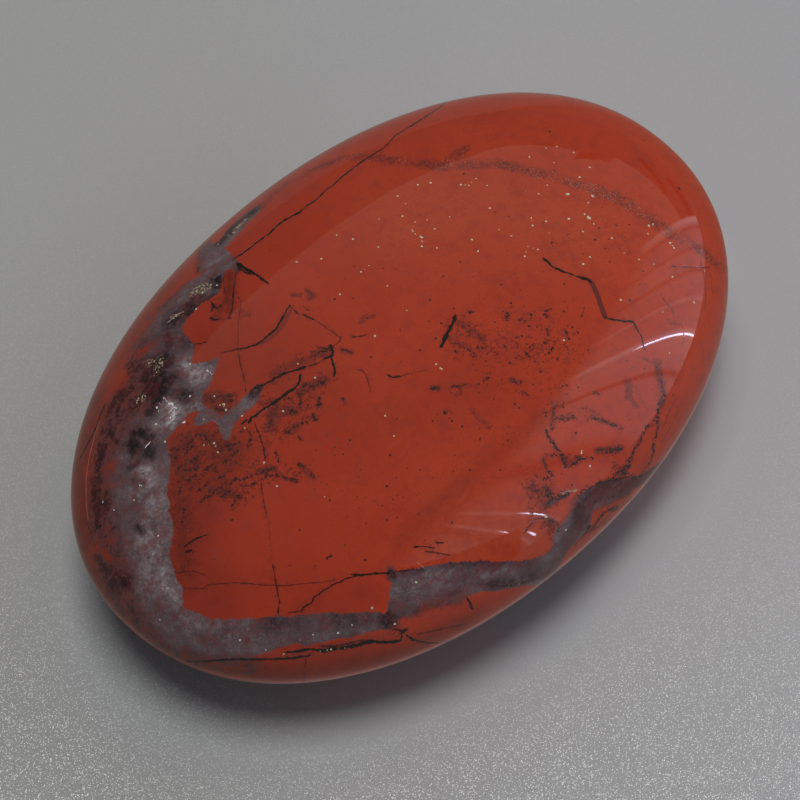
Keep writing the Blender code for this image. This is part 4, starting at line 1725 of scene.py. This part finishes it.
@dataclass(frozen=True)
class TableFinish:
    """The matt table top: its tones, as linear light, and how the polish shows it."""

    # Its tones, which carry painted light: dim to the left, bright at the near right
    grey: Colour = (0.488, 0.476, 0.473, 1.0)
    bright: Colour = (0.582, 0.574, 0.573, 1.0)
    dim: Colour = (0.445, 0.440, 0.419, 1.0)
    grain: Colour = (0.27, 0.27, 0.27, 1.0)
    # White for the painted glints and for the painted light beside the stone
    spark: Colour = (1.0, 1.0, 0.98, 1.0)
    dark: Colour = (0.0, 0.0, 0.0, 1.0)
    # What is left of the table's light in the polish, which mirrors it from low down: painted shade in
    # the reflection
    mirrored: Triple = (0.76, 0.64, 0.57)
    warm_mirrored: Triple = (1.10, 0.62, 0.46)
    shadow_tint: Triple = (0.97, 1.02, 1.04)
    # Painted glints: the light that the table's own bright grains give off
    spark_glow: Triple = (0.42, 0.42, 0.41)
    # A painted glow under the stone, which only the polish mirrors, as a fine light edge
    under_glow: Triple = (0.19, 0.130, 0.124)
    roughness: float = 0.6
    stone_half_length: float = 35.0  # millimetres, as its half width
    stone_half_width: float = 23.0


@dataclass
class TablePainter(Painter):
    """Paints the table top, whose tones follow the photograph round the stone.

    Its own values are how far a place lies away from the camera, how far it
    lies towards the bright corner at the near right, both in millimetres, and
    how far out it lies from the stone's middle, where 1 is the stone's outline.
    """

    finish: TableFinish = field(default_factory=TableFinish)
    away: Wire = field(init=False)
    corner: Wire = field(init=False)
    out: Wire = field(init=False)

    def __post_init__(self) -> None:
        """Starts the sheet and works out its own values."""
        super().__post_init__()
        look = self.finish
        self.away = self.place.along(self.camera.away)
        self.corner = self.away.scaled(-1.4, self.across)
        spread = (1.0 / look.stone_half_length, 1.0 / look.stone_half_width, 0.0)
        self.out = self.place.tinted(spread).vector("LENGTH", out="Value")

    def paint(self) -> bpy.types.Material:
        """Paints the whole material and joins its shader.

        Returns:
            The material.
        """
        look, sheet = self.finish, self.sheet
        # Painted light on the table: dimmer to the left and brighter towards the near right corner
        self.colour = look.dim
        self.cover(self.across.ease(-45.0, 30.0), look.grey)
        self.cover(self.corner.ease(22.0, 80.0), look.bright)
        spark = self.paint_grain()
        self.paint_shadow()
        mirrored = sheet.wire("LightPath", (), "Is Glossy Ray")
        self.cover(mirrored, self.seen_in_polish())
        # A painted glow under the stone, seen only in the polish
        under = mirrored * self.out.fade(0.96, 1.14) * self.across.ease(-24.0, -8.0)
        # Painted glints on the bright grains, away from the stone's shadow
        lit_out = self.out + self.across.fade(-32.0, -18.0, 0.14)
        glint = (spark * lit_out.ease(1.10, 1.42)).tinted(look.spark_glow)
        given = {
            "Base Color": self.colour,
            "Emission Color": under.tinted(look.under_glow).vector("ADD", glint),
            "Emission Strength": 1.0,
            "Roughness": look.roughness,
        }
        sheet.end("Material", sheet.wire("BsdfPrincipled", given))
        return self.material

    def paint_grain(self) -> Wire:
        """Adds the dark grain and the bright grains, which are painted glints; both fade out into the
        distance and in the stone's shadow.

        Returns:
            The bright grains' mask.
        """
        coarse = self.away.ease(-21.0, -2.0, 0.95, 0.10) + self.away.fade(-4.0, 16.0, 0.12)
        shaded = self.corner.ease(-2.0, 18.0, 1.0, 0.3)
        coarse = coarse * self.out.ease(1.04, 1.16, shaded, 1.0)
        grain = self.noise(9.0, 0.0).ease(0.36, 0.64, 0.0, 0.52)
        self.cover(grain * coarse, self.finish.grain)
        distance, chance, _, _ = self.sheet.cells(self.place, 9.4, voronoi_dimensions="2D")
        spark = distance.fade(0.16, chance.scaled(0.26, 0.27))
        spark = spark * (chance.ease(0.70, 1.0) * coarse)
        self.cover(spark, self.finish.spark)
        return spark

    def paint_shadow(self) -> None:
        """Paints shadow, cooling and darkening the table close round the stone but for its open side, and
        paints light close to its open sides.
        """
        cooled = self.colour.tinted(self.finish.shadow_tint)
        self.cover(self.out.fade(0.95, 1.3), cooled)
        beside = self.out.fade(1.0, 2.0, 0.082) * self.across.fade(-24.0, -4.0)
        self.cover(beside, self.finish.dark)
        open_side = self.across.ease(12.0, 24.0) + self.across.fade(-34.0, -28.0, 0.8)
        self.cover(self.out.fade(1.0, 1.12, 0.30) * open_side, self.finish.spark)

    def seen_in_polish(self) -> Wire:
        """Works out the dimmer, warmer table top that the polish mirrors, as painted shade in the
        reflection.

        Returns:
            Its colour.
        """
        dimmed = self.colour.tinted(self.finish.mirrored)
        far_right = self.across.ease(16.0, 34.0) * self.away.ease(4.0, 16.0)
        return self.sheet.mix(far_right, dimmed, dimmed.tinted(self.finish.warm_mirrored))


@dataclass(frozen=True)
class RoomLight:
    """The light of the room that the polish mirrors, as linear light."""

    wall: float = 0.13
    ambient: Triple = (0.057, 0.066, 0.080)
    from_right: Triple = (0.72, 0.76, 0.85)
    from_away: Triple = (0.30, 0.30, 0.30)
    warm: Triple = (1.15, 0.97, 0.82)
    window: Triple = (1.08, 0.98, 1.02)
    daylight: Triple = (1.10, 1.18, 1.62)
    streaks: tuple[Streak, ...] = (
        Streak(17.4, 21.6, 24.3, 20.6, 1.9),
        Streak(26.5, 38.2, 9.2, 13.4, 1.5),
        Streak(34.0, 47.6, 5.6, 4.0, 2.0),
    )
    streak_end: float = 0.6  # the degrees over which a bar fades at its two ends


@dataclass
class RoomPainter:
    """Paints the room round the stone: a ceiling, walls and a curtain.

    Its own values are how far a direction goes to the camera's right, how far
    it goes away from the camera and how far it rises.
    """

    world: bpy.types.World
    camera: PhotoCamera
    light: RoomLight = field(default_factory=RoomLight)
    curtain: Curtain = field(default_factory=Curtain)
    sheet: Sheet = field(init=False)
    right: Wire = field(init=False)
    away: Wire = field(init=False)
    up: Wire = field(init=False)

    def __post_init__(self) -> None:
        """Starts the sheet and works out its own values."""
        self.sheet = Sheet.of(self.world)
        look = self.sheet.wire("TexCoord", (), "Generated")
        self.right = look.along(self.camera.axes[0])
        away = self.camera.away
        self.away = look.along(away / np.linalg.norm(away))
        self.up = self.sheet.wire("SeparateXYZ", (look,), "Z")

    def paint(self) -> None:
        """Paints the room and joins its shader."""
        sheet = self.sheet
        bright = self.cut_streaks(self.ceiling())
        room = self.hang_curtain(bright.tinted(self.light.warm))
        scattered = sheet.wire("LightPath", (), "Is Diffuse Ray")
        shown = sheet.mix(scattered, room, self.soft_light())
        sheet.end("World", sheet.wire("Background", {"Color": shown}))

    def soft_light(self) -> Wire:
        """Works out the light that matt things get, most of it from low down.

        Returns:
            The light in each direction.
        """
        low = self.sheet.wire("Math", (1.0, self.up), operation="SUBTRACT")
        right = ((self.right | 0.0) * low).tinted(self.light.from_right)
        away = ((self.away | 0.0) * low).tinted(self.light.from_away)
        return right.vector("ADD", self.light.ambient).vector("ADD", away)

    def ceiling(self) -> Wire:
        """Works out the ceiling, which ends in a far wall and a slanting left one.

        Returns:
            How bright it is in each direction.
        """
        rise = self.up | 0.001
        across, beyond = self.right / rise, self.away / rise
        short = beyond - across.ease(0.95, 1.35, 2.32, 2.98)
        overhead = (beyond - across).fade(2.08, 2.16) * short.fade(-0.03, 0.05)
        extra = beyond.ease(-0.8, 2.3, 0.15, 0.40) - self.light.wall
        return overhead.scaled(extra, self.light.wall)

    def cut_streaks(self, bright: Wire) -> Wire:
        """Takes the light out of the dark bars that hang beyond the ceiling's end.

        Args:
            bright: How bright it is in each direction.

        Returns:
            The same with the bars in it.
        """
        turn = self.right.math("ARCTAN2", self.away).math("DEGREES")
        height = self.up.math("ARCSINE").math("DEGREES")
        fade = self.light.streak_end
        for bar in self.light.streaks:
            bounds = (turn, bar.start, bar.end, bar.start_height, bar.end_height)
            off = abs(height - self.sheet.wire("MapRange", bounds))
            starts = turn.ease(bar.start, bar.start + fade)
            ends = turn.fade(bar.end - fade, bar.end)
            dark = off.fade(bar.half * 0.75, bar.half) * (starts * ends)
            bright = bright * dark.scaled(-0.85, 1.0)
        return bright

    def hang_curtain(self, room: Wire) -> Wire:
        """Hangs the curtain in front of the walls and the ceiling.

        Args:
            room: The room's colour without the curtain.

        Returns:
            The room's colour with it.
        """
        hung = self.curtain
        facing = self.away.scaled(-hung.lean, self.right)
        reach = self.sheet.wire("Math", (hung.offset, facing | 0.001), operation="DIVIDE")
        height = reach * self.up
        straight = reach * self.away
        leaning = straight.fade(-0.30, -0.05, 0.045)
        along = (height - 0.45).scaled(leaning, straight)
        over = height - along.ease(-0.2, 0.1, 1.02, 1.20)
        present = over.fade(-0.25, 0.10) * facing.math("GREATER_THAN", 0.01)
        present = present * along.ease(hung.near - 0.02, hung.near + 0.02)
        present = present * along.fade(hung.far - 0.05, hung.far + 0.03)
        lit = self.pleats(along) * self.dark_corner(straight, height).scaled(-0.85, 1.0)
        lit = lit * height.ease(0.1, 1.2, 1.30, 1.0)
        cool = height.fade(0.3, 1.4)
        tint = self.sheet.mix(cool, (*self.light.warm, 1.0), (*self.light.window, 1.0))
        daylight = self.glints(along, height).tinted(self.light.daylight)
        return self.sheet.mix(present, room, lit.tinted(tint).vector("ADD", daylight))

    def pleats(self, along: Wire) -> Wire:
        """Works out the light on the curtain's pleats.

        Args:
            along: The place along the curtain.

        Returns:
            The light there.
        """
        first, last = self.curtain.pleats[0][0], self.curtain.pleats[-1][0]
        stops = tuple(
            ((place - first) / (last - first), (level / 2.0, level / 2.0, level / 2.0, 1.0))
            for place, level in self.curtain.pleats
        )
        return self.sheet.ramp((along - first) / (last - first), stops) * 2.0

    def glints(self, along: Wire, height: Wire) -> Wire:
        """Lets the daylight in through the gaps.

        Args:
            along: The place along the curtain.
            height: The height on it.

        Returns:
            The light of the gaps.
        """
        slits = []
        for gap in self.curtain.gaps:
            slit = abs(along - gap.along).fade(gap.half * 0.4, gap.half, gap.level)
            slit = slit * height.ease(gap.foot - 0.03, gap.foot + 0.03)
            slits.append(slit * height.fade(gap.head - 0.12, gap.head + 0.03))
        return reduce(add, slits)

    def dark_corner(self, along: Wire, height: Wire) -> Wire:
        """Marks the dark corner at the curtain's near end, under a slanting top."""
        under = (height - along.scaled(-2.0, -0.42)).fade(-0.02, 0.02)
        return under * (along - height.scaled(0.12, -0.388)).fade(-0.008, 0.004)


@dataclass(frozen=True)
class Studio:
    """The table top and the soft light of the room."""

    camera: PhotoCamera
    table_size: float = 6.0
    # The overhead light: how far it leans for each unit of height, how wide it
    # looks and how much light it gives
    lean: tuple[float, float] = (-0.030, 0.022)
    overhead_width: float = math.radians(26.0)
    overhead_energy: float = 1.58

    def build_table(self) -> None:
        """Makes the matt, finely grained table top."""
        plate = bmesh.new()
        bmesh.ops.create_grid(plate, x_segments=1, y_segments=1, size=self.table_size / 2.0)
        mesh = bpy.data.meshes.new("table_top")
        plate.to_mesh(mesh)
        plate.free()
        floor = bpy.data.objects.new("table_top", mesh)
        bpy.context.scene.collection.objects.link(floor)
        mesh.materials.append(TablePainter("pale_table", self.camera).paint())

    def build_overhead(self) -> None:
        """Makes the soft light overhead, which leaves no mirror image of itself."""
        data = bpy.data.lights.new("soft_overhead", "SUN")
        data.energy = self.overhead_energy
        data.angle = self.overhead_width
        lamp = bpy.data.objects.new("soft_overhead", data)
        toward = Vector((*self.lean, 1.0))
        lamp.rotation_euler = toward.to_track_quat("Z", "Y").to_euler()
        lamp.visible_glossy = False
        bpy.context.scene.collection.objects.link(lamp)

    def build_room(self) -> None:
        """Makes the room that the polish mirrors."""
        world = bpy.data.worlds.new("soft_room")
        bpy.context.scene.world = world
        world.cycles.sampling_method = "NONE"
        RoomPainter(world, self.camera).paint()


def main() -> None:
    """Builds the stone and its studio, and logs the stone's faces."""
    logging.basicConfig(level=logging.INFO, format="%(message)s")
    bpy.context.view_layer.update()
    bpy.context.scene.view_settings.view_transform = "Standard"
    camera = PhotoCamera()
    camera.build()
    stone = PalmStone(camera).build()
    LOG.info("%s has %d faces", stone.name, len(stone.data.polygons))
    studio = Studio(camera)
    studio.build_table()
    studio.build_overhead()
    studio.build_room()
    LOG.info("the table, the overhead light and the room are in place")


if __name__ == "__main__":
    main()
